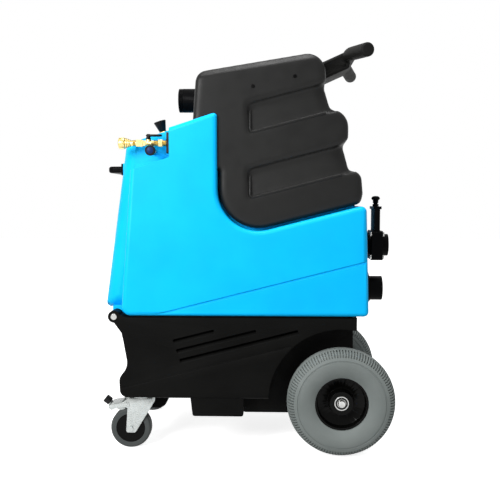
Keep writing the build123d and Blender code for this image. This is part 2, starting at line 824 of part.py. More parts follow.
with BuildPart() as body_hollow:
    with BuildSketch(Plane.XZ):
        with BuildLine():
            FilletPolyline(
                (BODY_FRONT_X + 2 * BODY_WALL, BODY_BOTTOM_Z + BODY_WALL),
                (BODY_REAR_X - BODY_WALL, BODY_BOTTOM_Z + BODY_WALL),
                (LEDGE_REAR_X - BODY_WALL, ledge_z(LEDGE_REAR_X - BODY_WALL) - BODY_WALL),
                (EAR_X - BODY_WALL, ledge_z(EAR_X - BODY_WALL) - BODY_WALL),
                (EAR_X - BODY_WALL, POCKET_FLOOR_Z - BODY_WALL),
                (nose_x(NOSE_BOTTOM_Z) - 2 * BODY_WALL, POCKET_FLOOR_Z - BODY_WALL),
                (nose_x(NOSE_Z) - 2 * BODY_WALL, panel_z(nose_x(NOSE_Z)) - 2 * BODY_WALL),
                (body_top[0] + BODY_WALL, panel_z(body_top[0]) - BODY_WALL),
                radius=[
                    2 * BODY_INNER_R,
                    BODY_INNER_R,
                    BODY_INNER_R,
                    CRADLE_R + BODY_WALL,
                    0,
                    BODY_INNER_R / 2,
                    BODY_INNER_R,
                    BODY_INNER_R,
                ],
                close=True,
            )
        make_face()
    extrude(amount=BODY_HALF - BODY_WALL, both=True)
    with BuildSketch(Plane.XZ):
        with BuildLine():
            Polyline(
                (bulge_x(BULGE_BOTTOM_Z) + BODY_WALL, BULGE_BOTTOM_Z + BODY_WALL),
                (BODY_FRONT_X + 3 * BODY_WALL, BULGE_BOTTOM_Z + BODY_WALL),
                (body_top[0] + 3 * BODY_WALL, body_top[1] - BODY_WALL),
                (bulge_top[0] + BODY_WALL, bulge_top[1] - BODY_WALL),
                close=True,
            )
        make_face()
    extrude(amount=BULGE_WIDTH / 2 - BULGE_R / 2, both=True)
    rod_z(STANDPIPE_X, 0, STANDPIPE_R + TUNNEL_WALL, BODY_BOTTOM_Z, LEDGE_REAR_Z, Mode.SUBTRACT)
    with BuildSketch(Plane.XZ.offset(BODY_HALF)):
        with BuildLine():
            Polyline(*notch_outline(BODY_WALL), close=True)
        make_face()
    extrude(amount=-NOTCH_DEEP - BODY_WALL, mode=Mode.SUBTRACT)

with BuildPart() as solution_tank:
    with BuildSketch(Plane.XZ):
        with BuildLine():
            FilletPolyline(
                (BODY_FRONT_X, BODY_BOTTOM_Z),
                (BODY_REAR_X, BODY_BOTTOM_Z),
                (LEDGE_REAR_X, LEDGE_REAR_Z),
                (EAR_X, ledge_z(EAR_X)),
                (EAR_X, EAR_TOP_Z),
                body_top,
                radius=[BODY_TOE_R, BODY_HEEL_R, LEDGE_R, CRADLE_R, EAR_R, EAR_R],
                close=True,
            )
        make_face()
    extrude(amount=BODY_HALF, both=True)
    fillet(solution_tank.faces().filter_by(Axis.Y).edges(), BODY_EDGE_R)
    add(front_bulge.part)
    # Pocket between the ears for the recovery tank's nose
    with BuildSketch(Plane.XZ):
        with BuildLine():
            Polyline(
                (nose_x(POCKET_FLOOR_Z) - TANK_GAP, POCKET_FLOOR_Z),
                (EAR_X + CRADLE_R, POCKET_FLOOR_Z),
                (EAR_X + CRADLE_R, EAR_TOP_Z + CRADLE_R),
                (nose_x(EAR_TOP_Z + CRADLE_R) - TANK_GAP, EAR_TOP_Z + CRADLE_R),
                close=True,
            )
        make_face()
    extrude(amount=POCKET_HALF, both=True, mode=Mode.SUBTRACT)
    # Corner notch for the solution line, on the left side
    with BuildSketch(Plane.XZ.offset(-NOTCH_Y)):
        with BuildLine():
            Polyline(*notch_outline(0), close=True)
        make_face()
    extrude(amount=2 * NOTCH_DEEP, mode=Mode.SUBTRACT)
    add(body_hollow.part, mode=Mode.SUBTRACT)
    # Plinth on the ledge and up the cradle, shaped to the recovery tank's underside
    with BuildSketch(Plane.XZ):
        with BuildLine():
            Polyline(
                (EAR_X - BODY_WALL / 2, ledge_z(EAR_X) + CRADLE_R),
                (EAR_X - BODY_WALL / 2, ledge_z(EAR_X) - BODY_WALL / 2),
                (LEDGE_REAR_X - PLINTH_BACK, ledge_z(LEDGE_REAR_X - PLINTH_BACK) - BODY_WALL / 2),
                (LEDGE_REAR_X - PLINTH_BACK, ledge_z(LEDGE_REAR_X - PLINTH_BACK) + CRADLE_R),
                close=True,
            )
        make_face()
        with BuildLine():
            FilletPolyline(*tank_outline, radius=tank_radii, close=True)
        make_face(mode=Mode.SUBTRACT)
        with BuildLine():
            Polyline(
                (TANK_FRONT_X, ledge_z(EAR_X) + 2 * CRADLE_R),
                (TANK_FRONT_X, ledge_z(EAR_X) + CRADLE_R - TANK_GAP),
                (BODY_REAR_X, ledge_z(EAR_X) + CRADLE_R - TANK_GAP),
                (BODY_REAR_X, ledge_z(EAR_X) + 2 * CRADLE_R),
                close=True,
            )
        make_face(mode=Mode.SUBTRACT)
    extrude(amount=PLINTH_WIDTH / 2, both=True)
    # Lugs that turn on the hinge pin
    for side in SIDES.values():
        with BuildSketch(Plane.XZ.offset(-side * LUG_IN)):
            with Locations((PIN_X, PIN_Z)):
                Circle(LUG_R)
            with BuildLine():
                Polyline(
                    (PIN_X - LUG_R, PIN_Z),
                    (PIN_X + LUG_R, PIN_Z),
                    (PIN_X + LUG_R, BULGE_BOTTOM_Z + BODY_WALL),
                    (PIN_X - LUG_R, BULGE_BOTTOM_Z + BODY_WALL),
                    close=True,
                )
            make_face()
        extrude(amount=-side * (LUG_OUT - LUG_IN))
    rod_y(PIN_X, PIN_Z, PIN_R + RUN_CLEAR, -BODY_HALF, BODY_HALF, Mode.SUBTRACT)
    # Vacuum tunnel from the ledge down to the floor of the body
    rod_z(STANDPIPE_X, 0, STANDPIPE_R + SEAT_CLEAR, BODY_BOTTOM_Z - 1, LEDGE_REAR_Z, Mode.SUBTRACT)
    # Groove line on both sides, parallel to the ledge
    groove_run = BODY_REAR_X - ahead(GROOVE_FRONT)
    groove_z = BODY_BOTTOM_Z + groove_run / 2 * slope(RAKE)
    for side in SIDES.values():
        with BuildSketch(Plane.XZ.offset(-side * (BODY_HALF - GROOVE_DEEP))):
            with Locations((ahead(GROOVE_FRONT) + groove_run / 2, groove_z)):
                Rectangle(groove_run / cos(radians(RAKE)), GROOVE_WIDTH, rotation=RAKE)
        extrude(amount=-side * 2 * GROOVE_DEEP, mode=Mode.SUBTRACT)
    # Bosses for the drain valve and the exhaust port, with bores that end in the boss
    for z, boss_r, bore_r in (
        (GATE_Z, GATE_FLANGE_R + PORT_BOSS, GATE_SPIGOT_R + SEAT_CLEAR),
        (EXHAUST_Z, EXHAUST_BOSS_R, EXHAUST_BORE_R),
    ):
        rod_x(PORT_Y, z, boss_r, BODY_REAR_X - 4 * BODY_WALL, PORT_FACE_X)
        rod_x(PORT_Y, z, bore_r, BODY_REAR_X - 3 * BODY_WALL, PORT_FACE_X + 1, Mode.SUBTRACT)
    # Bosses for the feet of the lift handle
    for side in SIDES.values():
        with BuildSketch(Plane.YZ.offset(LIFT_FACE_X)):
            with Locations((side * LIFT_PAD_Y, LIFT_Z)):
                RectangleRounded(LIFT_PAD_WIDTH + 2, LIFT_PAD_HEIGHT + 2, 6)
        extrude(amount=LIFT_BOSS + 2 * BODY_WALL)
    # Fill mouth in the sloped top, and screw holes
    stud(FILL_SEAT, FILL_MOUTH_R, -4 * BODY_WALL, BODY_WALL, Mode.SUBTRACT)
    for seat in EXHAUST_SCREWS + LIFT_SCREWS + PLATE_SCREWS:
        stud(seat, SCREW_R + SEAT_CLEAR, -SCREW_LENGTH, 0, Mode.SUBTRACT)
save(solution_tank, "solution_tank")

# Recovery tank: hollow moulding with scooped bands that wrap its sides and rear
LID_SEAT = raked(ahead(LID_AHEAD), 0, tank_top_z(ahead(LID_AHEAD)), TANK_TOP_RAKE)
CUFF_SEAT_X = nose_x(CUFF_Z) + CUFF_FLANGE / 2
HANDLE_SEAT_X = ahead(HANDLE_SEAT_AHEAD)
HANDLE_HIGH_Z = tank_top_z(HANDLE_SEAT_X) - HANDLE_DROP
HANDLE_LOW_Z = HANDLE_HIGH_Z - HANDLE_HEIGHT
GRIP_Z = HANDLE_HIGH_Z + GRIP_LIFT
GRIP_SPAN = TANK_WIDTH - 2 * GRIP_INSET
HANDLE_BOLTS = [
    (side * (HANDLE_FLANGE_WIDTH + HANDLE_NECK_WIDTH) / 4, z)
    for side in SIDES.values()
    for z in (HANDLE_LOW_Z + HANDLE_BOLT_RISE, HANDLE_LOW_Z + HANDLE_BOLT_RISE + HANDLE_BOLT_PITCH)
]

with BuildPart() as tank_hollow:
    inset = TANK_WALL + BAND_DEEP
    waist_x = ahead(-TANK_WAVES[2][0]) - 2 * TANK_WALL
    lobe_x = ahead(-TANK_WAVES[6][0]) - 2 * TANK_WALL
    with BuildSketch(Plane.XZ):
        with BuildLine():
            FilletPolyline(
                (TANK_FRONT_X + TANK_WALL, tank_floor_z(TANK_FRONT_X) + 2 * TANK_WALL),
                (TANK_HEEL_X - inset, tank_floor_z(TANK_HEEL_X - inset) + TANK_WALL),
                (waist_x, BAND_TOP_Z[1] + BAND_HEIGHT / 2),
                (lobe_x, BAND_TOP_Z[0] + TANK_WALL),
                (lobe_x, tank_top_z(lobe_x) - 2 * TANK_WALL),
                (nose_x(TANK_TOP_Z) + TANK_WALL, tank_top_z(nose_x(TANK_TOP_Z)) - TANK_WALL),
                (nose_x(NOSE_BOTTOM_Z) + TANK_WALL, NOSE_BOTTOM_Z + TANK_WALL),
                (TANK_FRONT_X + TANK_WALL, NOSE_BOTTOM_Z + TANK_WALL),
                radius=[
                    CRADLE_R - 2 * TANK_WALL,
                    TANK_INNER_R,
                    TANK_TAIL_R,
                    TANK_INNER_R,
                    TANK_INNER_R,
                    TANK_INNER_R,
                    TANK_WALL,
                    0,
                ],
                close=True,
            )
        make_face()
    extrude(amount=TANK_HALF - inset, both=True)

band_cuts = []
for top_z, rear in zip(BAND_TOP_Z, BAND_REAR):
    band_x = ahead(BAND_FRONT)
    end_x = ahead(-3 * TANK_TAIL_BEHIND)
    mid_x = ahead(BAND_MARK)
    with BuildPart() as band_cut:
        with BuildSketch(Plane.XZ):
            with BuildLine():
                Polyline(
                    (band_x, top_z - (mid_x - band_x) * slope(RAKE)),
                    (end_x, top_z + (end_x - mid_x) * slope(RAKE)),
                    (end_x, top_z + (end_x - mid_x) * slope(RAKE) - BAND_HEIGHT),
                    (band_x, top_z - (mid_x - band_x) * slope(RAKE) - BAND_HEIGHT),
                    close=True,
                )
            make_face()
        extrude(amount=TANK_WIDTH, both=True)
        core_length = (ahead(rear) - band_x) / cos(radians(RAKE)) + TANK_WIDTH
        core_centre = (ahead(rear) - mid_x) / cos(radians(RAKE)) - core_length / 2
        with BuildSketch(raked(mid_x, 0, top_z, RAKE)):
            with Locations((core_centre, 0)):
                RectangleRounded(core_length, 2 * (TANK_HALF - BAND_DEEP), BAND_CORNER_R)
        extrude(amount=-BAND_HEIGHT, taper=-BAND_DRAFT, mode=Mode.SUBTRACT)
    band_cuts.append(band_cut.part)

with BuildPart() as recovery_tank:
    with BuildSketch(Plane.XZ):
        with BuildLine():
            FilletPolyline(*tank_outline, radius=tank_radii, close=True)
        make_face()
    extrude(amount=TANK_HALF, both=True)
    fillet(recovery_tank.faces().filter_by(Axis.Y).edges(), TANK_EDGE_R)
    for band in band_cuts:
        add(band, mode=Mode.SUBTRACT)
    # Flat facets along both upper edges
    top_angle = radians(TANK_TOP_RAKE)
    top_section = Plane(
        origin=LID_SEAT.origin, x_dir=(0, 1, 0), z_dir=(cos(top_angle), 0, sin(top_angle))
    )
    with BuildSketch(top_section):
        for side in SIDES.values():
            with BuildLine():
                Polyline(
                    (side * TANK_HALF, -TANK_FACET),
                    (side * (TANK_HALF + TANK_FACET_IN), -TANK_FACET),
                    (side * (TANK_HALF + TANK_FACET_IN), TANK_FACET),
                    (side * (TANK_HALF - 2 * TANK_FACET_IN), TANK_FACET),
                    close=True,
                )
            make_face()
    extrude(amount=TANK_WIDTH, both=True, mode=Mode.SUBTRACT)
    add(tank_hollow.part, mode=Mode.SUBTRACT)
    # Lid mouth, standpipe hole, seat and hole of the inlet cuff
    stud(LID_SEAT, MOUTH_R, -3 * TANK_WALL, TANK_WALL, Mode.SUBTRACT)
    rod_z(STANDPIPE_X, 0, STANDPIPE_R + SEAT_CLEAR, LEDGE_REAR_Z / 2, NOSE_BOTTOM_Z, Mode.SUBTRACT)
    rod_x(0, CUFF_Z, CUFF_FLANGE_R + SEAT_CLEAR, CUFF_SEAT_X - CUFF_REACH, CUFF_SEAT_X, Mode.SUBTRACT)
    rod_x(0, CUFF_Z, CUFF_BORE_R + CUFF_HOLE, CUFF_SEAT_X - 1, CUFF_SEAT_X + 2 * TANK_WALL, Mode.SUBTRACT)
    # Flat seat of the push handle, its bolt holes and the side screw holes
    with BuildSketch(Plane.YZ.offset(HANDLE_SEAT_X)):
        with Locations((0, (HANDLE_LOW_Z + HANDLE_HIGH_Z) / 2 + CRADLE_R / 2)):
            Rectangle(HANDLE_FLANGE_WIDTH + 2 * GAP, HANDLE_HIGH_Z - HANDLE_LOW_Z + CRADLE_R + 2 * GAP)
    extrude(amount=CRADLE_R, mode=Mode.SUBTRACT)
    for y, z in HANDLE_BOLTS:
        rod_x(y, z, CAP_BOLT_R + SEAT_CLEAR, HANDLE_SEAT_X - 4 * TANK_WALL, HANDLE_SEAT_X + 1, Mode.SUBTRACT)
    for seat in TANK_SCREWS:
        stud(seat, SCREW_R + SEAT_CLEAR, -SCREW_LENGTH, 0, Mode.SUBTRACT)
save(recovery_tank, "recovery_tank")

# Rear axle with spacers and end caps
WHEEL_Y = TRACK / 2
AXLE_END = HUB_OUT + AXLE_STUB
AXLE_LINE = Axis((AXLE_X, 0, AXLE_Z), (0, 1, 0))


def wheel_plane(side):
    """Section plane of a rear wheel: x is the radius, y points outward from the tyre's middle."""
    return Plane(origin=(AXLE_X, side * WHEEL_Y, AXLE_Z), x_dir=(1, 0, 0), z_dir=(0, 0, side))


with BuildPart() as rear_axle:
    rod_y(AXLE_X, AXLE_Z, AXLE_R, -WHEEL_Y - AXLE_END, WHEEL_Y + AXLE_END)
save(rear_axle, "rear_axle")

with BuildPart() as axle_spacers:
    for side in SIDES.values():
        rod_y(AXLE_X, AXLE_Z, SPACER_R, side * WELL_HALF, side * (WHEEL_Y - HUB_IN - GAP))
    rod_y(AXLE_X, AXLE_Z, AXLE_R + SEAT_CLEAR, -WHEEL_Y, WHEEL_Y, Mode.SUBTRACT)
save(axle_spacers, "axle_spacers")

with BuildPart() as axle_caps:
    for side in SIDES.values():
        with BuildSketch(wheel_plane(side)):
            with BuildLine():
                Polyline(
                    (0, AXLE_END),
                    (AXLE_R + SEAT_CLEAR, AXLE_END),
                    (AXLE_R + SEAT_CLEAR, HUB_OUT + GAP),
                    (AXLE_CAP_R, HUB_OUT + GAP),
                    (AXLE_CAP_R, AXLE_END),
                    (AXLE_R, AXLE_END + AXLE_CAP_WALL),
                    (0, AXLE_END + AXLE_CAP_WALL),
                    close=True,
                )
            make_face()
        revolve(axis=AXLE_LINE)
save(axle_caps, "axle_caps")

# Rear wheels: dished rim with a hub, tyre and two shielded bearings
rim_half = RIM_WIDTH / 2 - RIM_BEAD
rim_section = [
    (RIM_R, -rim_half),
    (RIM_R, RIM_WIDTH / 2),
    (RIM_R - RIM_WALL, RIM_WIDTH / 2),
    (RIM_R - RIM_WALL - RIM_DRAFT, WEB_OUT),
    (HUB_R + RIM_WALL, WEB_HUB),
    (HUB_R + RIM_DRAFT / 2, HUB_OUT),
    (BEARING_R + SEAT_CLEAR, HUB_OUT),
    (BEARING_R + SEAT_CLEAR, HUB_OUT - BEARING_WIDTH),
    (SPACER_R + RIM_DRAFT, HUB_OUT - BEARING_WIDTH),
    (SPACER_R + RIM_DRAFT, BEARING_WIDTH - HUB_IN),
    (BEARING_R + SEAT_CLEAR, BEARING_WIDTH - HUB_IN),
    (BEARING_R + SEAT_CLEAR, -HUB_IN),
    (HUB_R - RIM_DRAFT / 2, -HUB_IN),
    (HUB_R + RIM_DRAFT, WEB_HUB - WEB_THICK),
    (RIM_R - RIM_WALL, WEB_OUT - WEB_THICK),
    (RIM_R - RIM_WALL, -rim_half),
]
bearing_section = [
    (AXLE_R + RUN_CLEAR, 0),
    (SHIELD_R[0], 0),
    (SHIELD_R[0], SHIELD_DEEP),
    (SHIELD_R[1], SHIELD_DEEP),
    (SHIELD_R[1], 0),
    (BEARING_R, 0),
    (BEARING_R, BEARING_WIDTH),
    (SHIELD_R[1], BEARING_WIDTH),
    (SHIELD_R[1], BEARING_WIDTH - SHIELD_DEEP),
    (SHIELD_R[0], BEARING_WIDTH - SHIELD_DEEP),
    (SHIELD_R[0], BEARING_WIDTH),
    (AXLE_R + RUN_CLEAR, BEARING_WIDTH),
]
for name, side in SIDES.items():
    with BuildPart() as rear_rim:
        with BuildSketch(wheel_plane(side)):
            with BuildLine():
                Polyline(*rim_section, close=True)
            make_face()
        revolve(axis=AXLE_LINE)
    save(rear_rim, f"rear_rim_{name}")

    with BuildPart() as rear_tyre:
        with BuildSketch(wheel_plane(side)):
            with BuildLine():
                bead_r = RIM_R + SEAT_CLEAR
                Line((bead_r, -rim_half), (bead_r, rim_half))
                ThreePointArc((bead_r, rim_half), (TYRE_WALL_R, TYRE_WIDTH / 2), (TREAD_R, TREAD_HALF))
                ThreePointArc((TREAD_R, TREAD_HALF), (TYRE_R, 0), (TREAD_R, -TREAD_HALF))
                ThreePointArc((TREAD_R, -TREAD_HALF), (TYRE_WALL_R, -TYRE_WIDTH / 2), (bead_r, -rim_half))
            make_face()
        revolve(axis=AXLE_LINE)
    save(rear_tyre, f"rear_tyre_{name}")

    with BuildPart() as wheel_bearings:
        for inner_face in (HUB_OUT - BEARING_WIDTH, -HUB_IN):
            with BuildSketch(wheel_plane(side)):
                with BuildLine():
                    Polyline(*[(r, inner_face + s) for r, s in bearing_section], close=True)
                make_face()
            revolve(axis=AXLE_LINE)
    save(wheel_bearings, f"wheel_bearings_{name}")

# Swivel casters with foot brakes
RACE_TOP_Z = CASTER_HEIGHT - PLATE_THICK
CROWN_TOP_Z = RACE_TOP_Z - RACE_HEIGHT - GAP
KINGPIN_HEAD_Z = CROWN_TOP_Z - CROWN_THICK - GAP
PEDAL_X = KINGPIN_X - PEDAL_PIVOT
PEDAL_Z = CASTER_HEIGHT - PEDAL_PIVOT_DROP
PEDAL_TIP_X = CASTER_X - PEDAL_REACH

with BuildPart() as caster_plates:
    for side in SIDES.values():
        y = side * CASTER_TRACK / 2
        with Locations((KINGPIN_X, y, CASTER_HEIGHT - PLATE_THICK / 2)):
            Box(PLATE_LENGTH, PLATE_WIDTH, PLATE_THICK)
        rod_z(KINGPIN_X, y, RACE_R, RACE_TOP_Z - RACE_HEIGHT, RACE_TOP_Z)
        rod_z(KINGPIN_X, y, KINGPIN_R, KINGPIN_HEAD_Z - KINGPIN_HEAD, RACE_TOP_Z)
        rod_z(KINGPIN_X, y, KINGPIN_HEAD_R, KINGPIN_HEAD_Z - KINGPIN_HEAD, KINGPIN_HEAD_Z)
    for x, y in CASTER_BOLTS:
        rod_z(x, y, BOLT_R + SEAT_CLEAR, RACE_TOP_Z - 1, CASTER_HEIGHT + 1, Mode.SUBTRACT)
save(caster_plates, "caster_plates")

with BuildPart() as caster_bolts:
    for x, y in CASTER_BOLTS:
        rod_z(x, y, BOLT_R, RACE_TOP_Z, TUB_FLOOR_Z + TUB_WALL)
        with BuildSketch(Plane.XY.offset(RACE_TOP_Z)):
            with Locations((x, y)):
                RegularPolygon(BOLT_HEAD_R, 6)
        extrude(amount=-BOLT_HEAD)
save(caster_bolts, "caster_bolts")

for name, side in SIDES.items():
    y = side * CASTER_TRACK / 2
    leg_out = FORK_GAP / 2 + FORK_THICK
    with BuildPart() as caster_fork:
        with Locations((KINGPIN_X, y, CROWN_TOP_Z - CROWN_THICK / 2)):
            Box(CROWN_LENGTH, 2 * leg_out, CROWN_THICK)
        for leg_y in (y - leg_out, y + FORK_GAP / 2):
            with BuildSketch(Plane.XZ.offset(-leg_y)):
                with Locations((KINGPIN_X, CROWN_TOP_Z - CROWN_THICK)):
                    Rectangle(CROWN_LENGTH, 2 * CROWN_THICK)
                with Locations((CASTER_X, CASTER_R)):
                    Circle(LEG_END_R)
                with Locations((PEDAL_X, PEDAL_Z)):
                    Circle(3 * PEDAL_PIN_R)
                make_hull()
            extrude(amount=-FORK_THICK)
        rod_z(KINGPIN_X, y, KINGPIN_R + RUN_CLEAR, KINGPIN_HEAD_Z, CROWN_TOP_Z + 1, Mode.SUBTRACT)
        rod_y(CASTER_X, CASTER_R, CASTER_AXLE_R + SEAT_CLEAR, y - leg_out - 1, y + leg_out + 1, Mode.SUBTRACT)
        rod_y(PEDAL_X, PEDAL_Z, PEDAL_PIN_R + RUN_CLEAR, y - leg_out - 1, y + leg_out + 1, Mode.SUBTRACT)
    save(caster_fork, f"caster_fork_{name}")

    with BuildPart() as caster_axle:
        rod_y(CASTER_X, CASTER_R, CASTER_AXLE_R, y - leg_out, y + leg_out)
        for face in (-1, 1):
            with BuildSketch(Plane.XZ.offset(-y - face * leg_out)):
                with Locations((CASTER_X, CASTER_R)):
                    RegularPolygon(CASTER_NUT_R, 6)
            extrude(amount=-face * CASTER_NUT)
    save(caster_axle, f"caster_axle_{name}")

    with BuildPart() as caster_core:
        rod_y(CASTER_X, CASTER_R, CASTER_CORE_R, y - CASTER_WIDTH / 2 + 1, y + CASTER_WIDTH / 2 - 1)
        rod_y(CASTER_X, CASTER_R, CASTER_HUB_R, y - FORK_GAP / 2 + GAP, y + FORK_GAP / 2 - GAP)
        rod_y(CASTER_X, CASTER_R, CASTER_AXLE_R + RUN_CLEAR, y - FORK_GAP, y + FORK_GAP, Mode.SUBTRACT)
    save(caster_core, f"caster_core_{name}")

    with BuildPart() as caster_tyre:
        rod_y(CASTER_X, CASTER_R, CASTER_R, y - CASTER_WIDTH / 2, y + CASTER_WIDTH / 2)
        fillet(caster_tyre.edges().filter_by(GeomType.CIRCLE), CASTER_EDGE_R)
        core_seat_r = CASTER_CORE_R + SEAT_CLEAR
        rod_y(CASTER_X, CASTER_R, core_seat_r, y - CASTER_WIDTH, y + CASTER_WIDTH, Mode.SUBTRACT)
    save(caster_tyre, f"caster_tyre_{name}")

    with BuildPart() as brake_pedal:
        elbow_x = (PEDAL_TIP_X + PEDAL_X) / 2 - PEDAL_THICK
        elbow_z = PEDAL_Z - PEDAL_THICK
        tip_z = PEDAL_Z + PEDAL_THICK * 3
        with BuildSketch(Plane.XZ.offset(-y)):
            with BuildLine():
                Polyline(
                    (PEDAL_X, PEDAL_Z - PEDAL_THICK / 2),
                    (elbow_x, elbow_z - PEDAL_THICK / 2),
                    (PEDAL_TIP_X, tip_z - PEDAL_THICK / 2),
                    (PEDAL_TIP_X, tip_z + PEDAL_THICK / 2),
                    (elbow_x, elbow_z + PEDAL_THICK),
                    (PEDAL_X, PEDAL_Z + PEDAL_THICK),
                    close=True,
                )
            make_face()
            with Locations((PEDAL_X, PEDAL_Z)):
                Circle(2 * PEDAL_PIN_R)
        extrude(amount=PEDAL_WIDTH / 2, both=True)
        rod_y(PEDAL_X, PEDAL_Z, 2 * PEDAL_PIN_R, y - FORK_GAP / 2 + GAP, y + FORK_GAP / 2 - GAP)
        rod_y(PEDAL_X, PEDAL_Z, PEDAL_PIN_R, y - leg_out - GAP, y + leg_out + GAP)
        for face in (-1, 1):
            rod_y(
                PEDAL_X,
                PEDAL_Z,
                PEDAL_PIN_HEAD_R,
                y + face * (leg_out + GAP),
                y + face * (leg_out + GAP + PEDAL_PIN_R / 2),
            )
    save(brake_pedal, f"brake_pedal_{name}")

# Hinge pin of the clamshell
with BuildPart() as hinge_pin:
    pin_end = TUB_HALF - PANEL_STEP
    rod_y(PIN_X, PIN_Z, PIN_R, -pin_end, pin_end)
    for side in SIDES.values():
        rod_y(PIN_X, PIN_Z, PIN_HEAD_R, side * pin_end, side * (pin_end + PIN_HEAD))
save(hinge_pin, "hinge_pin")

# Vacuum motors, their plenum and its seal, and the solution pump, all inside the base
MOTOR_X = ahead(MOTOR_AHEAD)
MOTOR_Z = TUB_FLOOR_Z + TUB_WALL
FAN_Z = MOTOR_Z + MOTOR_HEIGHT
PLENUM_Z = FAN_Z + FAN_STAGES * FAN_STAGE
for name, side in SIDES.items():
    with BuildPart() as vacuum_motor:
        rod_z(MOTOR_X, side * MOTOR_Y, MOTOR_R, MOTOR_Z, FAN_Z)
        for stage in range(FAN_STAGES):
            stage_z = FAN_Z + stage * FAN_STAGE
            rod_z(MOTOR_X, side * MOTOR_Y, FAN_R - 2 * GAP, stage_z, stage_z + FAN_STAGE)
            rod_z(MOTOR_X, side * MOTOR_Y, FAN_R, stage_z + FAN_SEAM, stage_z + FAN_STAGE - FAN_SEAM)
        rod_z(MOTOR_X, side * MOTOR_Y, FAN_EYE_R, PLENUM_Z - FAN_STAGE / 2, PLENUM_Z + 1, Mode.SUBTRACT)
    save(vacuum_motor, f"vacuum_motor_{name}")

with BuildPart() as vacuum_plenum:
    plenum_x0 = MOTOR_X - PLENUM_MARGIN
    plenum_x1 = STANDPIPE_X + PLENUM_MARGIN
    plenum_half = MOTOR_Y + PLENUM_MARGIN
    with Locations(((plenum_x0 + plenum_x1) / 2, 0, PLENUM_Z + PLENUM_HEIGHT / 2)):
        Box(plenum_x1 - plenum_x0, 2 * plenum_half, PLENUM_HEIGHT)
        Box(
            plenum_x1 - plenum_x0 - 2 * PLENUM_WALL,
            2 * (plenum_half - PLENUM_WALL),
            PLENUM_HEIGHT - 2 * PLENUM_WALL,
            mode=Mode.SUBTRACT,
        )
    for side in SIDES.values():
        rod_z(MOTOR_X, side * MOTOR_Y, FAN_EYE_R, PLENUM_Z - 1, PLENUM_Z + 2 * PLENUM_WALL, Mode.SUBTRACT)
    plenum_top = PLENUM_Z + PLENUM_HEIGHT
    rod_z(STANDPIPE_X, 0, STANDPIPE_R, plenum_top - 2 * PLENUM_WALL, plenum_top + 1, Mode.SUBTRACT)
save(vacuum_plenum, "vacuum_plenum")

with BuildPart() as plenum_gasket:
    rod_z(STANDPIPE_X, 0, PLENUM_SEAL_R, plenum_top, BODY_BOTTOM_Z - GAP)
    rod_z(STANDPIPE_X, 0, STANDPIPE_R, plenum_top - 1, BODY_BOTTOM_Z, Mode.SUBTRACT)
save(plenum_gasket, "plenum_gasket")

PUMP_X = ahead(PUMP_FRONT)
PUMP_Z = BELLY_Z + TUB_WALL + PUMP_R + PUMP_CLEAR
with BuildPart() as pump_motor:
    rod_x(0, PUMP_Z, PUMP_R, PUMP_X, PUMP_X + PUMP_LENGTH)
    rod_x(0, PUMP_Z, PUMP_R - PUMP_CLEAR, PUMP_X + PUMP_LENGTH, PUMP_X + PUMP_LENGTH + PUMP_CLEAR)
    for foot_x in (PUMP_X + PUMP_LENGTH / 4, PUMP_X + PUMP_LENGTH * 3 / 4):
        with Locations((foot_x, 0, BELLY_Z + TUB_WALL)):
            Box(PUMP_LENGTH / 6, PUMP_FOOT_WIDTH, PUMP_R, align=(Align.CENTER, Align.CENTER, Align.MIN))
save(pump_motor, "pump_motor")

with BuildPart() as pump_head:
    with Locations((PUMP_X - PUMP_HEAD_LENGTH / 2, 0, PUMP_Z)):
        Box(PUMP_HEAD_LENGTH, PUMP_HEAD_WIDTH, PUMP_HEAD_HEIGHT)
    port_end = PUMP_HEAD_WIDTH / 2 + PUMP_PORT
    rod_y(PUMP_X - PUMP_HEAD_LENGTH / 2, PUMP_Z, PUMP_PORT_R, -port_end, port_end)
    rod_y(PUMP_X - PUMP_HEAD_LENGTH / 2, PUMP_Z, PUMP_PORT_R / 2, port_end / 2, port_end + 1, Mode.SUBTRACT)
    rod_y(PUMP_X - PUMP_HEAD_LENGTH / 2, PUMP_Z, PUMP_PORT_R / 2, -port_end - 1, -port_end / 2, Mode.SUBTRACT)
save(pump_head, "pump_head")

# Lid of the recovery tank with its gasket
with BuildPart() as lid_gasket:
    stud(LID_SEAT, LID_R - GASKET_THICK, 0, GASKET_THICK)
    stud(LID_SEAT, MOUTH_R, -1, GASKET_THICK + 1, Mode.SUBTRACT)
save(lid_gasket, "lid_gasket")

with BuildPart() as tank_lid:
    stud(LID_SEAT, LID_R, GASKET_THICK, GASKET_THICK + LID_THICK)
    fillet(tank_lid.edges().filter_by(GeomType.CIRCLE).sort_by(Axis.Z)[-1], LID_THICK / 2)
    stud(LID_SEAT, MOUTH_R - GAP, -LID_PLUG, GASKET_THICK)
    stud(LID_SEAT, MOUTH_R - GAP - LID_THICK, -LID_PLUG - 1, GASKET_THICK, Mode.SUBTRACT)
    with Locations(LID_SEAT.location * Location((0, 0, GASKET_THICK + LID_THICK + LID_GRIP / 2))):
        Box(LID_GRIP, LID_GRIP_LENGTH, LID_GRIP)
save(tank_lid, "tank_lid")

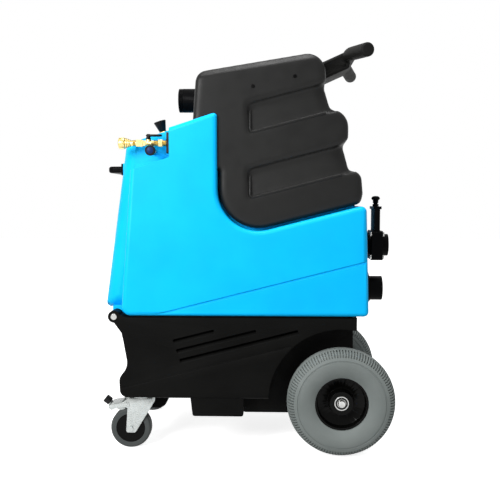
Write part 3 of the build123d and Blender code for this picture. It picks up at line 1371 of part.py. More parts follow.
# Standpipe with a closed head, air windows and two float stops, and the float collar
FLOAT_Z = STOP_Z - FLOAT_TRAVEL - FLOAT_HEIGHT
with BuildPart() as standpipe:
    rod_z(STANDPIPE_X, 0, STANDPIPE_R, BODY_BOTTOM_Z, STANDPIPE_TOP_Z)
    for stop_z in (STOP_Z + GAP, FLOAT_Z - GAP - STOP_THICK):
        rod_z(STANDPIPE_X, 0, STOP_R, stop_z, stop_z + STOP_THICK)
    rod_z(
        STANDPIPE_X,
        0,
        STANDPIPE_R - STANDPIPE_WALL,
        BODY_BOTTOM_Z - 1,
        STANDPIPE_TOP_Z - STANDPIPE_WALL,
        Mode.SUBTRACT,
    )
    window_z = STANDPIPE_TOP_Z - 3 * STANDPIPE_WALL - WINDOW_HEIGHT / 2
    with Locations((STANDPIPE_X, 0, window_z)):
        Box(3 * STANDPIPE_R, WINDOW_WIDTH, WINDOW_HEIGHT, mode=Mode.SUBTRACT)
        Box(WINDOW_WIDTH, 3 * STANDPIPE_R, WINDOW_HEIGHT, mode=Mode.SUBTRACT)
save(standpipe, "standpipe")

with BuildPart() as float_collar:
    rod_z(STANDPIPE_X, 0, FLOAT_R, FLOAT_Z, FLOAT_Z + FLOAT_HEIGHT)
    fillet(float_collar.edges().filter_by(GeomType.CIRCLE), STOP_THICK)
    rod_z(STANDPIPE_X, 0, STANDPIPE_R + GAP, FLOAT_Z - 1, FLOAT_Z + FLOAT_HEIGHT + 1, Mode.SUBTRACT)
save(float_collar, "float_collar")

# Threaded vacuum inlet cuff on the nose
with BuildPart() as inlet_cuff:
    cuff_end_x = CUFF_SEAT_X - CUFF_REACH
    rod_x(0, CUFF_Z, CUFF_FLANGE_R, CUFF_SEAT_X - CUFF_FLANGE, CUFF_SEAT_X)
    rod_x(0, CUFF_Z, CUFF_R, cuff_end_x + CUFF_END, CUFF_SEAT_X)
    rod_x(0, CUFF_Z, CUFF_R - CUFF_THREAD_DEEP, cuff_end_x, CUFF_SEAT_X)
    pitch = CUFF_END / CUFF_THREADS
    for turn in range(CUFF_THREADS):
        thread_x = cuff_end_x + turn * pitch + pitch / 4
        rod_x(0, CUFF_Z, CUFF_R, thread_x, thread_x + pitch / 2)
    rod_x(0, CUFF_Z, CUFF_BORE_R, cuff_end_x - 1, CUFF_SEAT_X + 1, Mode.SUBTRACT)
save(inlet_cuff, "inlet_cuff")

# Push handle: flange, neck and swept grip bar in one moulding, with its bolts
GRIP_X = ahead(-GRIP_BEHIND)
sweep_angle = atan2(GRIP_DROP, GRIP_SWEEP)
grip_plane = Plane(
    origin=(GRIP_X, 0, GRIP_Z), x_dir=(0, 1, 0), z_dir=(-sin(sweep_angle), 0, -cos(sweep_angle))
)
grip_reach = (GRIP_SWEEP**2 + GRIP_DROP**2) ** 0.5
with BuildPart() as push_handle:
    neck_top_x = HANDLE_SEAT_X + NECK_REST
    neck_top_z = HANDLE_HIGH_Z + NECK_STEP
    neck_low_x = HANDLE_SEAT_X + NECK_UNDER
    neck_low_z = HANDLE_LOW_Z + NECK_UNDER / 2
    neck_end_x = GRIP_X + NECK_TAIL
    with BuildSketch(Plane.XZ):
        with BuildLine():
            FilletPolyline(
                (HANDLE_SEAT_X, HANDLE_LOW_Z),
                (HANDLE_SEAT_X, neck_top_z),
                (neck_top_x, neck_top_z),
                (neck_end_x, neck_top_z + (neck_end_x - neck_top_x) * slope(HANDLE_RISE)),
                (GRIP_X, neck_low_z + (GRIP_X - neck_low_x) * slope(HANDLE_RISE)),
                (neck_low_x, neck_low_z),
                radius=[0, 0, 0, NECK_TAIL, NECK_TAIL / 2, NECK_TAIL],
                close=True,
            )
        make_face()
    extrude(amount=HANDLE_NECK_WIDTH / 2, both=True)
    fillet(push_handle.faces().filter_by(Axis.Y).edges(), NECK_EDGE_R)
    with BuildSketch(Plane.YZ.offset(HANDLE_SEAT_X)):
        with Locations((0, (HANDLE_LOW_Z + HANDLE_HIGH_Z) / 2)):
            RectangleRounded(HANDLE_FLANGE_WIDTH, HANDLE_HIGH_Z - HANDLE_LOW_Z, NECK_EDGE_R)
    extrude(amount=HANDLE_FLANGE)
    with BuildLine(grip_plane) as grip_path:
        FilletPolyline(
            (-GRIP_SPAN / 2, grip_reach),
            (-GRIP_KNEE, 0),
            (GRIP_KNEE, 0),
            (GRIP_SPAN / 2, grip_reach),
            radius=GRIP_BEND_R,
        )
    grip_start = grip_path.wire().position_at(0)
    with BuildSketch(Plane(origin=grip_start, z_dir=grip_path.wire().tangent_at(0))):
        Circle(GRIP_R)
    sweep(path=grip_path.wire())
    grip_ends = push_handle.edges().filter_by(
        lambda e: e.geom_type == GeomType.CIRCLE and abs(e.center().Y) > GRIP_SPAN / 2 - GRIP_R
    )
    fillet(grip_ends, GRIP_END_R)
    for y, z in HANDLE_BOLTS:
        bolt_end_x = HANDLE_SEAT_X + 2 * HANDLE_FLANGE
        rod_x(y, z, CAP_BOLT_R + SEAT_CLEAR, HANDLE_SEAT_X - 1, bolt_end_x, Mode.SUBTRACT)
save(push_handle, "push_handle")

with BuildPart() as handle_bolts:
    for y, z in HANDLE_BOLTS:
        bolt_face_x = HANDLE_SEAT_X + HANDLE_FLANGE
        rod_x(y, z, CAP_BOLT_R, HANDLE_SEAT_X - 2 * TANK_WALL, bolt_face_x)
        rod_x(y, z, CAP_BOLT_HEAD_R, bolt_face_x, bolt_face_x + CAP_BOLT_HEAD)
        with BuildSketch(Plane.YZ.offset(bolt_face_x + CAP_BOLT_HEAD)):
            with Locations((y, z)):
                RegularPolygon(CAP_BOLT_R, 6)
        extrude(amount=-CAP_BOLT_HEAD / 2, mode=Mode.SUBTRACT)
save(handle_bolts, "handle_bolts")

with BuildPart() as pan_head_screws:
    for seat in EXHAUST_SCREWS + LIFT_SCREWS + PLATE_SCREWS + TANK_SCREWS:
        stud(seat, SCREW_R, -SCREW_LENGTH, SCREW_HEAD / 2)
        stud(seat, SCREW_HEAD_R, 0, SCREW_HEAD)
save(pan_head_screws, "pan_head_screws")

# Solution line along the notch: bulkhead plate, nipple, ball valve and quick coupler
NIPPLE_X = PLATE_X - NIPPLE_LENGTH
VALVE_X = NIPPLE_X - VALVE_LENGTH
COUPLER_X = VALVE_X - COUPLER_LENGTH
STEM_X = (NIPPLE_X + VALVE_X) / 2

with BuildPart() as bulkhead_plate:
    with BuildSketch(Plane.YZ.offset(PLATE_X)):
        with Locations((NOTCH_Y - PLATE_DEPTH / 2, LINE_Z)):
            RectangleRounded(PLATE_DEPTH, PLATE_HEIGHT, PLATE_SCREW_IN / 2)
    extrude(amount=PLATE_WALL)
    rod_x(LINE_Y, LINE_Z, NIPPLE_TUBE_R + SEAT_CLEAR, PLATE_X - 1, NOTCH_X + 1, Mode.SUBTRACT)
    for seat in PLATE_SCREWS:
        stud(seat, SCREW_R + SEAT_CLEAR, -2 * PLATE_WALL, 1, Mode.SUBTRACT)
save(bulkhead_plate, "bulkhead_plate")

with BuildPart() as hex_nipple:
    rod_x(LINE_Y, LINE_Z, NIPPLE_TUBE_R, NIPPLE_X, NOTCH_X)
    with BuildSketch(Plane.YZ.offset(NIPPLE_X + NIPPLE_LENGTH / 3)):
        with Locations((LINE_Y, LINE_Z)):
            RegularPolygon(NIPPLE_HEX_R, 6)
    extrude(amount=NIPPLE_LENGTH / 3)
    rod_x(LINE_Y, LINE_Z, LINE_BORE_R, NIPPLE_X - 1, NOTCH_X + 1, Mode.SUBTRACT)
save(hex_nipple, "hex_nipple")

LEVER_Z = LINE_Z + LEVER_RISE
NECK_TOP_Z = LINE_Z + VALVE_NECK
with BuildPart() as ball_valve:
    rod_x(LINE_Y, LINE_Z, VALVE_R - 1, VALVE_X, NIPPLE_X)
    for hex_front in (VALVE_X, NIPPLE_X - VALVE_HEX):
        with BuildSketch(Plane.YZ.offset(hex_front)):
            with Locations((LINE_Y, LINE_Z)):
                RegularPolygon(VALVE_R, 6)
        extrude(amount=VALVE_HEX)
    rod_z(STEM_X, LINE_Y, LEVER_NECK_R, LINE_Z, NECK_TOP_Z)
    rod_x(LINE_Y, LINE_Z, LINE_BORE_R, VALVE_X - 1, NIPPLE_X + 1, Mode.SUBTRACT)
    rod_z(STEM_X, LINE_Y, LEVER_STEM_R + RUN_CLEAR, LINE_Z + LINE_BORE_R, NECK_TOP_Z + 1, Mode.SUBTRACT)
save(ball_valve, "ball_valve")

with BuildPart() as valve_lever:
    with BuildSketch(Plane.XY.offset(LEVER_Z - LEVER_THICK / 2)):
        with Locations((STEM_X + LEVER_BACK / 2 - LEVER_WIDTH / 4, LINE_Y)):
            SlotOverall(LEVER_BACK + LEVER_WIDTH / 2, LEVER_WIDTH)
    extrude(amount=LEVER_THICK)
    rod_z(STEM_X, LINE_Y, LEVER_STEM_R, LINE_Z + LINE_BORE_R + 1, LEVER_Z + LEVER_THICK)
    with BuildSketch(Plane.XY.offset(NECK_TOP_Z + GAP)):
        with Locations((STEM_X, LINE_Y)):
            Circle(LEVER_NECK_R)
    extrude(amount=LEVER_Z - NECK_TOP_Z - GAP, taper=LEVER_TAPER)
save(valve_lever, "valve_lever")

SLEEVE_X = COUPLER_X + SLEEVE_SETBACK
with BuildPart() as coupler_body:
    rod_x(LINE_Y, LINE_Z, COUPLER_R, COUPLER_X, VALVE_X)
    with BuildSketch(Plane.YZ.offset(VALVE_X - COUPLER_HEX)):
        with Locations((LINE_Y, LINE_Z)):
            RegularPolygon(NIPPLE_HEX_R, 6)
    extrude(amount=COUPLER_HEX)
    rod_x(LINE_Y, LINE_Z, COUPLER_BORE_R, COUPLER_X - 1, VALVE_X - VALVE_HEX, Mode.SUBTRACT)
    rod_x(LINE_Y, LINE_Z, LINE_BORE_R, VALVE_X - 2 * VALVE_HEX, VALVE_X + 1, Mode.SUBTRACT)
save(coupler_body, "coupler_body")

with BuildPart() as coupler_sleeve:
    ring_x = SLEEVE_X
    for ring_r, ring_length in SLEEVE_RINGS:
        rod_x(LINE_Y, LINE_Z, ring_r, ring_x, ring_x + ring_length)
        ring_x += ring_length
    rod_x(LINE_Y, LINE_Z, COUPLER_R + RUN_CLEAR, SLEEVE_X - 1, ring_x + 1, Mode.SUBTRACT)
save(coupler_sleeve, "coupler_sleeve")

# Prime valve on the wall of the notch, with its knob
PRIME_X = ahead(PRIME_AHEAD)
knob_out_y = NOTCH_Y - PRIME_KNOB_OUT
knob_in_y = knob_out_y + PRIME_KNOB
with BuildPart() as prime_valve:
    rod_y(PRIME_X, PRIME_Z, PRIME_BODY_R, NOTCH_Y, NOTCH_Y - PRIME_BODY)
    rod_y(PRIME_X, PRIME_Z, PRIME_STEM_R, NOTCH_Y - PRIME_BODY, knob_out_y + PRIME_KNOB / 4)
save(prime_valve, "prime_valve")

with BuildPart() as prime_knob:
    rod_y(PRIME_X, PRIME_Z, PRIME_KNOB_R, knob_in_y, knob_out_y)
    socket_y = knob_out_y + PRIME_KNOB / 4 - GAP
    rod_y(PRIME_X, PRIME_Z, PRIME_STEM_R + RUN_CLEAR, knob_in_y + 1, socket_y, Mode.SUBTRACT)
save(prime_knob, "prime_knob")

# Pressure regulator on the sloped top, with its tall knob
REGULATOR_SEAT = raked(ahead(REGULATOR_AHEAD), REGULATOR_Y, panel_z(ahead(REGULATOR_AHEAD)), PANEL_RAKE)
knob_low = REGULATOR_NUT + GAP
knob_height = REGULATOR_KNOB - knob_low
stem_top = REGULATOR_KNOB - REGULATOR_NUT
with BuildPart() as regulator_valve:
    with BuildSketch(REGULATOR_SEAT):
        RegularPolygon(REGULATOR_NUT_R, 6)
    extrude(amount=REGULATOR_NUT)
    stud(REGULATOR_SEAT, REGULATOR_STEM_R, REGULATOR_NUT, stem_top)
save(regulator_valve, "regulator_valve")

with BuildPart() as regulator_knob:
    with BuildSketch(REGULATOR_SEAT.offset(knob_low)):
        Circle(REGULATOR_NECK_R)
    extrude(amount=knob_height, taper=-degrees(atan2(REGULATOR_KNOB_R - REGULATOR_NECK_R, knob_height)))
    stud(REGULATOR_SEAT, REGULATOR_STEM_R + RUN_CLEAR, knob_low - 1, stem_top + GAP, Mode.SUBTRACT)
save(regulator_knob, "regulator_knob")

# Switch panel with rockers, and the fill cap
SWITCH_SEAT = raked(ahead(SWITCH_AHEAD), SWITCH_Y, panel_z(ahead(SWITCH_AHEAD)), PANEL_RAKE)
switch_places = [(i - (SWITCHES - 1) / 2) * SWITCH_PITCH for i in range(SWITCHES)]
pivot_up = BEZEL_THICK - ROCKER_SINK
pocket_half = ROCKER_LENGTH / 2 + ROCKER_GAP
with BuildPart() as switch_panel:
    with BuildSketch(SWITCH_SEAT):
        RectangleRounded(BEZEL_LENGTH, BEZEL_WIDTH, BEZEL_R)
    extrude(amount=BEZEL_THICK)
    for y in switch_places:
        with Locations(SWITCH_SEAT.location * Location((0, y, BEZEL_THICK / 2 + 1))):
            Box(2 * pocket_half, ROCKER_WIDTH + 2 * GAP, BEZEL_THICK, mode=Mode.SUBTRACT)
        with Locations(SWITCH_SEAT.location * Location((0, y, pivot_up), (90, 0, 0))):
            Cylinder(
                ROCKER_PIN_R + RUN_CLEAR, ROCKER_WIDTH + 2 * (ROCKER_PIN + 2 * GAP), mode=Mode.SUBTRACT
            )
save(switch_panel, "switch_panel")

for number, y in enumerate(switch_places, 1):
    with BuildPart() as rocker:
        pivot = SWITCH_SEAT.location * Location((0, y, pivot_up), (90, 0, 0))
        with BuildSketch(Plane(pivot)):
            with BuildLine():
                Polyline(
                    (-ROCKER_LENGTH / 2, ROCKER_SINK / 3),
                    (-ROCKER_LENGTH / 2, ROCKER_SINK + ROCKER_CROWN),
                    (0, ROCKER_SINK + ROCKER_CROWN / 4),
                    (ROCKER_LENGTH / 2, ROCKER_SINK + ROCKER_CROWN / 4),
                    (ROCKER_LENGTH / 2, 0),
                    (0, -ROCKER_SINK),
                    close=True,
                )
            make_face()
        extrude(amount=ROCKER_WIDTH / 2, both=True)
        with Locations(pivot):
            Cylinder(ROCKER_PIN_R, ROCKER_WIDTH + 2 * ROCKER_PIN)
    save(rocker, f"rocker_{number}")

with BuildPart() as fill_cap:
    stud(FILL_SEAT, FILL_CAP_R, 0, FILL_CAP)
    fillet(fill_cap.edges().filter_by(GeomType.CIRCLE).sort_by(Axis.Z)[-1], FILL_CAP / 4)
    stud(FILL_SEAT, FILL_MOUTH_R - GAP, -FILL_PLUG, 0)
    stud(FILL_SEAT, FILL_MOUTH_R - FILL_CAP / 2, -FILL_PLUG - 1, FILL_CAP / 2, Mode.SUBTRACT)
save(fill_cap, "fill_cap")

# Lift handle on the front bulge
with BuildPart() as lift_handle:
    with BuildSketch(Plane.XY.offset(LIFT_Z - LIFT_HEIGHT / 2)):
        with BuildLine():
            grip_x = LIFT_FACE_X - LIFT_REACH
            FilletPolyline(
                (LIFT_FACE_X, -LIFT_SPAN / 2),
                (grip_x, -LIFT_SPAN / 2),
                (grip_x, LIFT_SPAN / 2),
                (LIFT_FACE_X, LIFT_SPAN / 2),
                (LIFT_FACE_X, LIFT_SPAN / 2 - LIFT_LEG),
                (grip_x + LIFT_BAR, LIFT_SPAN / 2 - LIFT_LEG),
                (grip_x + LIFT_BAR, LIFT_LEG - LIFT_SPAN / 2),
                (LIFT_FACE_X, LIFT_LEG - LIFT_SPAN / 2),
                radius=[0, LIFT_BAR, LIFT_BAR, 0, 0, LIFT_BAR / 3, LIFT_BAR / 3, 0],
                close=True,
            )
        make_face()
    extrude(amount=LIFT_HEIGHT)
    bar_edges = lift_handle.edges().filter_by(lambda e: e.center().X < LIFT_FACE_X - GAP)
    fillet(bar_edges.group_by(Axis.Z)[0] + bar_edges.group_by(Axis.Z)[-1], LIFT_EDGE_R)
    for side in SIDES.values():
        with BuildSketch(Plane.YZ.offset(LIFT_FACE_X)):
            with Locations((side * LIFT_PAD_Y, LIFT_Z)):
                RectangleRounded(LIFT_PAD_WIDTH, LIFT_PAD_HEIGHT, LIFT_PAD)
        extrude(amount=-LIFT_PAD)
    for seat in LIFT_SCREWS:
        stud(seat, SCREW_R + SEAT_CLEAR, -2 * LIFT_PAD, 1, Mode.SUBTRACT)
save(lift_handle, "lift_handle")

# Drain gate valve: body, bonnet with crosspiece, sliding blade with knob, and body bolts
GATE_FRONT_X = PORT_FACE_X + GATE_FLANGE + GATE_NECK
GATE_X = GATE_FRONT_X + GATE_THICK / 2
GATE_TOP_Z = GATE_Z + GATE_HEIGHT / 2
BONNET_TOP_Z = GATE_TOP_Z + BONNET_HEIGHT
BLADE_TOP_Z = GATE_Z + BLADE_TOP
GATE_BOLTS = [(PORT_Y + dy * GATE_BOLT_Y, GATE_Z + dz * GATE_BOLT_Z) for dy in (-1, 1) for dz in (-1, 1)]
slot_thick = BLADE_THICK + 2 * GAP
slot_width = BLADE_WIDTH + 2 * BLADE_SIDE_GAP
with BuildPart() as gate_valve:
    rod_x(PORT_Y, GATE_Z, GATE_SPIGOT_R, PORT_FACE_X - BODY_WALL, GATE_X)
    rod_x(PORT_Y, GATE_Z, GATE_FLANGE_R, PORT_FACE_X, PORT_FACE_X + GATE_FLANGE)
    rod_x(PORT_Y, GATE_Z, GATE_NECK_R, PORT_FACE_X, GATE_X)
    with BuildSketch(Plane.YZ.offset(GATE_FRONT_X)):
        with Locations((PORT_Y, GATE_Z)):
            RectangleRounded(GATE_WIDTH, GATE_HEIGHT, 2 * GATE_BOLT_R)
    extrude(amount=GATE_THICK)
    rod_x(PORT_Y, GATE_Z, GATE_STUB_R, GATE_X, GATE_FRONT_X + GATE_THICK + GATE_STUB)
    rod_x(
        PORT_Y,
        GATE_Z,
        GATE_BORE_R,
        PORT_FACE_X - 2 * BODY_WALL,
        GATE_FRONT_X + GATE_THICK + GATE_STUB + 1,
        Mode.SUBTRACT,
    )
    with BuildSketch(Plane.YZ.offset(GATE_X - slot_thick / 2)):
        with Locations((PORT_Y, GATE_Z)):
            Circle(slot_width / 2)
        with Locations((PORT_Y, GATE_Z + GATE_HEIGHT / 2)):
            Rectangle(slot_width, GATE_HEIGHT)
    extrude(amount=slot_thick, mode=Mode.SUBTRACT)
    rod_z(GATE_X, PORT_Y, GATE_STEM_R + GAP, BLADE_TOP_Z - BLADE_THICK, GATE_TOP_Z + 1, Mode.SUBTRACT)
    for y, z in GATE_BOLTS:
        rod_x(y, z, GATE_BOLT_R + SEAT_CLEAR, GATE_FRONT_X - 1, GATE_FRONT_X + GATE_THICK + 1, Mode.SUBTRACT)
save(gate_valve, "gate_valve")

with BuildPart() as gate_bonnet:
    with Locations((GATE_X, PORT_Y, (GATE_TOP_Z + BONNET_TOP_Z) / 2)):
        Box(BONNET_THICK, BONNET_WIDTH, BONNET_HEIGHT)
    with Locations((GATE_X, PORT_Y, (GATE_TOP_Z + BONNET_TOP_Z) / 2 - BLADE_THICK)):
        Box(slot_thick, slot_width, BONNET_HEIGHT, mode=Mode.SUBTRACT)
    with Locations((GATE_X, PORT_Y, BONNET_TOP_Z + CROSS_HEIGHT / 2)):
        Box(CROSS_THICK, CROSS_WIDTH, CROSS_HEIGHT)
    rod_z(
        GATE_X,
        PORT_Y,
        GATE_STEM_R + RUN_CLEAR,
        GATE_TOP_Z - 1,
        BONNET_TOP_Z + CROSS_HEIGHT + 1,
        Mode.SUBTRACT,
    )
save(gate_bonnet, "gate_bonnet")

with BuildPart() as gate_blade:
    with BuildSketch(Plane.YZ.offset(GATE_X - BLADE_THICK / 2)):
        with Locations((PORT_Y, GATE_Z)):
            Circle(BLADE_WIDTH / 2)
        with Locations((PORT_Y, GATE_Z + BLADE_TOP / 2)):
            Rectangle(BLADE_WIDTH, BLADE_TOP)
    extrude(amount=BLADE_THICK)
    rod_z(GATE_X, PORT_Y, GATE_STEM_R, BLADE_TOP_Z - 1, GATE_KNOB_Z)
    rod_z(GATE_X, PORT_Y, GATE_KNOB_R, GATE_KNOB_Z - GATE_KNOB / 2, GATE_KNOB_Z + GATE_KNOB / 2)
save(gate_blade, "gate_blade")

with BuildPart() as gate_bolts:
    for y, z in GATE_BOLTS:
        rod_x(y, z, GATE_BOLT_R, GATE_FRONT_X, GATE_FRONT_X + GATE_THICK)
        for face_x, away in ((GATE_FRONT_X, -1), (GATE_FRONT_X + GATE_THICK, 1)):
            with BuildSketch(Plane.YZ.offset(face_x)):
                with Locations((y, z)):
                    RegularPolygon(GATE_NUT_R, 6)
            extrude(amount=away * GATE_BOLT_R)
save(gate_bolts, "gate_bolts")

# Exhaust port: screwed flange with a short pipe
with BuildPart() as exhaust_port:
    rod_x(PORT_Y, EXHAUST_Z, EXHAUST_FLANGE_R, PORT_FACE_X, PORT_FACE_X + EXHAUST_FLANGE)
    rod_x(PORT_Y, EXHAUST_Z, EXHAUST_R, PORT_FACE_X, PORT_FACE_X + EXHAUST_FLANGE + EXHAUST_PIPE)
    rod_x(
        PORT_Y,
        EXHAUST_Z,
        EXHAUST_BORE_R,
        PORT_FACE_X - 1,
        PORT_FACE_X + EXHAUST_FLANGE + EXHAUST_PIPE + 1,
        Mode.SUBTRACT,
    )
    for seat in EXHAUST_SCREWS:
        stud(seat, SCREW_R + SEAT_CLEAR, -2 * EXHAUST_FLANGE, 1, Mode.SUBTRACT)
save(exhaust_port, "exhaust_port")
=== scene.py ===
# %% [markdown]
# # Portable carpet extractor
# This lesson dresses a packed machine: a blue solution tank on a black base tub, a black
# recovery tank with scooped sides, rear wheels, braked casters and brass water fittings.
# The frame gives every solid in its place, so nothing is fitted by eye.

# %% Load the machine
import json
from math import atan2, cos, floor, hypot, pi, radians, sin, tan

import bmesh
import bpy
from mathutils import Matrix, Vector


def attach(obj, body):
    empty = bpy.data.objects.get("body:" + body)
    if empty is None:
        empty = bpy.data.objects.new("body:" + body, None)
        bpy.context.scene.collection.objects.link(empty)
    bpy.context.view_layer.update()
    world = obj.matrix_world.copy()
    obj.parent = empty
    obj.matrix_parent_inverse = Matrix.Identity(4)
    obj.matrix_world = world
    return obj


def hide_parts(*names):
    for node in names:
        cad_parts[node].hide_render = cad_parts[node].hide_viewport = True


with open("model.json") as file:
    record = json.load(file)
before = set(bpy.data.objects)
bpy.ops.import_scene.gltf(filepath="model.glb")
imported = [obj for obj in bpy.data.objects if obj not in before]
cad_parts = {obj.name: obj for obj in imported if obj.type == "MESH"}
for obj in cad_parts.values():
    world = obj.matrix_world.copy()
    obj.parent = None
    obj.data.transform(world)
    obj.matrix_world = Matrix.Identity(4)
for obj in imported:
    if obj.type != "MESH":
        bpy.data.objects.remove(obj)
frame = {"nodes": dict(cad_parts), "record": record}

scene = bpy.context.scene
nodes = frame["nodes"]
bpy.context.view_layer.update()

# %% [markdown]
# ## Camera
# The photograph was taken from the machine's left side, a little above its middle. A camera
# could be aimed with a Track To constraint, but a direction from yaw and pitch is exact.

# %% Camera
CAMERA_AT = Vector((0.06665, -1.9514, 0.6317))
CAMERA_YAW = radians(-1.904)
CAMERA_PITCH = radians(-4.131)
SENSOR = 36.0
LENS = 51.84
gaze = Vector((0, 1, 0))
gaze.rotate(Matrix.Rotation(CAMERA_PITCH, 3, "X"))
gaze.rotate(Matrix.Rotation(-CAMERA_YAW, 3, "Z"))
camera = bpy.data.objects.new("camera", bpy.data.cameras.new("camera"))
camera.data.sensor_width = SENSOR
camera.data.lens = LENS
camera.location = CAMERA_AT
camera.rotation_euler = gaze.to_track_quat("-Z", "Y").to_euler()
scene.collection.objects.link(camera)
scene.camera = camera
print("camera looks along", [round(part, 4) for part in gaze])

# %% [markdown]
# ## Studio
# The photograph has a white sweep with hardly a shadow. White could be had by flooding the
# machine with light, but that would bleach its colours. Instead the air and the floor are
# white only to rays that show them, directly, mirrored or through glass. To all other rays
# the floor is dark and throws little light up, so hollows and undersides stay dark.

# %% Rays that show a surface
SHOWING_RAYS = ("Is Camera Ray", "Is Glossy Ray", "Is Transmission Ray")
WHITE = (1, 1, 1, 1)


def shown(tree):
    """1 for rays that show a surface, 0 for the other rays, which only light the machine."""
    rays = tree.nodes.new("ShaderNodeLightPath")
    total = rays.outputs[SHOWING_RAYS[0]]
    for kind in SHOWING_RAYS[1:]:
        either = tree.nodes.new("ShaderNodeMath")
        either.operation = "MAXIMUM"
        tree.links.new(total, either.inputs[0])
        tree.links.new(rays.outputs[kind], either.inputs[1])
        total = either.outputs[0]
    return total


def spread(tree, value, low, high, start=0.0, end=1.0):
    """Maps a value from start..end onto low..high."""
    span = tree.nodes.new("ShaderNodeMapRange")
    span.inputs["From Min"].default_value = start
    span.inputs["From Max"].default_value = end
    span.inputs["To Min"].default_value = low
    span.inputs["To Max"].default_value = high
    tree.links.new(value, span.inputs["Value"])
    return span.outputs["Result"]


def socket(made, name):
    """The socket of that name on a material's shader."""
    return made.node_tree.nodes["Principled BSDF"].inputs[name]


print("white to", len(SHOWING_RAYS), "kinds of ray")

# %% Air
AIR_LIGHT = 0.55
air = bpy.data.worlds.new("studio_air")
air.use_nodes = True
scene.world = air
air_tree = air.node_tree
backdrop = air_tree.nodes["Background"]
backdrop.inputs["Color"].default_value = WHITE
strength = spread(air_tree, shown(air_tree), AIR_LIGHT, 1.0)
air_tree.links.new(strength, backdrop.inputs["Strength"])
scene.view_settings.view_transform = "Standard"
print("air lights the machine at", AIR_LIGHT)

# %% Floor
FLOOR_HALF = 9.0
FLOOR_TINTS = (0.22, 0.86)
FLOOR_GLOW = 0.80
FLOOR_ROUGH = 0.9
FLOOR_SHINE = 0.1
paper = bpy.data.materials.new("floor_paper")
paper.use_nodes = True
paper_tree = paper.node_tree
socket(paper, "Roughness").default_value = FLOOR_ROUGH
socket(paper, "Specular IOR Level").default_value = FLOOR_SHINE
socket(paper, "Emission Color").default_value = WHITE
white = shown(paper_tree)
tint = spread(paper_tree, white, *FLOOR_TINTS)
glow = spread(paper_tree, white, 0.0, FLOOR_GLOW)
paper_tree.links.new(tint, socket(paper, "Base Color"))
paper_tree.links.new(glow, socket(paper, "Emission Strength"))
form = bmesh.new()
bmesh.ops.create_grid(form, x_segments=1, y_segments=1, size=FLOOR_HALF)
floor_mesh = bpy.data.meshes.new("floor")
form.to_mesh(floor_mesh)
form.free()
floor_mesh.materials.append(paper)
ground = bpy.data.objects.new("floor", floor_mesh)
scene.collection.objects.link(ground)
print("floor", 2 * FLOOR_HALF, "m wide")

# %% [markdown]
# ## Lamps
# The machine was lit softly, with a light line along the black tank's top edge. Sun lamps
# would draw hard shadows, so three soft boxes do it: a key at the front left, one overhead
# for that line, and a very weak fill from the right.

# %% Lamps
AIM = Vector((0.0, 0.0, 0.5))


def soft_box(name, place, size, watts):
    """A square lamp of that size in metres, turned to the machine's middle."""
    lamp = bpy.data.lights.new(name, "AREA")
    lamp.size = size
    lamp.energy = watts
    stand = bpy.data.objects.new(name, lamp)
    stand.location = place
    stand.rotation_euler = (AIM - Vector(place)).to_track_quat("-Z", "Y").to_euler()
    scene.collection.objects.link(stand)
    print(name, watts, "W")


soft_box("key_lamp", place=(-1.05, -1.7, 1.25), size=0.8, watts=41)
soft_box("top_lamp", place=(0.0, -0.40, 2.6), size=0.9, watts=34)
soft_box("fill_lamp", place=(2.2, -1.8, 1.2), size=1.4, watts=1)

# %% [markdown]
# ## Finishes
# Rotomoulded plastic has a fine orange-peel skin and cloudy gloss, zinc and brass show fine
# scratches, and rubber is dull. An image could carry this, but noise on Object coordinates
# keeps its scale on every piece and needs no unwrapping.

# %% Helpers for finishes
NOISE_SPAN = (0.35, 0.65)
finishes = {}


def new_finish(slot, specular=0.5, metallic=0.0):
    """The material of a slot, with its constant values set on the shader."""
    made = bpy.data.materials.new(f"{slot}_finish")
    finishes[slot] = made
    made.use_nodes = True
    socket(made, "Specular IOR Level").default_value = specular
    socket(made, "Metallic").default_value = metallic
    return made


def grain(made, size, detail=2.0, stretch=(1, 1, 1)):
    """Noise whose grains measure about that many metres."""
    tree = made.node_tree
    where = tree.nodes.new("ShaderNodeTexCoord")
    scale = tree.nodes.new("ShaderNodeMapping")
    scale.inputs["Scale"].default_value = [part / size for part in stretch]
    noise = tree.nodes.new("ShaderNodeTexNoise")
    noise.inputs["Scale"].default_value = 1.0
    noise.inputs["Detail"].default_value = detail
    tree.links.new(where.outputs["Object"], scale.inputs["Vector"])
    tree.links.new(scale.outputs["Vector"], noise.inputs["Vector"])
    return noise.outputs["Fac"]


def colour(made, value, low, high):
    """Base colour that drifts between two tints."""
    tree = made.node_tree
    ramp = tree.nodes.new("ShaderNodeValToRGB")
    for stop, place, tint in zip(ramp.color_ramp.elements, NOISE_SPAN, (low, high)):
        stop.position = place
        stop.color = (*tint, 1)
    tree.links.new(value, ramp.inputs["Fac"])
    tree.links.new(ramp.outputs["Color"], socket(made, "Base Color"))


def gloss(made, value, low, high):
    """Roughness that drifts between two values."""
    tree = made.node_tree
    rough = spread(tree, value, low, high, *NOISE_SPAN)
    tree.links.new(rough, socket(made, "Roughness"))


def relief(made, value, height, edge=0.0):
    """Fine bumps of that height in metres, over edges that look rounded to that radius."""
    tree = made.node_tree
    bump = tree.nodes.new("ShaderNodeBump")
    bump.inputs["Distance"].default_value = height
    if edge:
        soft = tree.nodes.new("ShaderNodeBevel")
        soft.inputs["Radius"].default_value = edge
        tree.links.new(soft.outputs["Normal"], bump.inputs["Normal"])
    tree.links.new(value, bump.inputs["Height"])
    tree.links.new(bump.outputs["Normal"], socket(made, "Normal"))


print("noise is used from", *NOISE_SPAN)

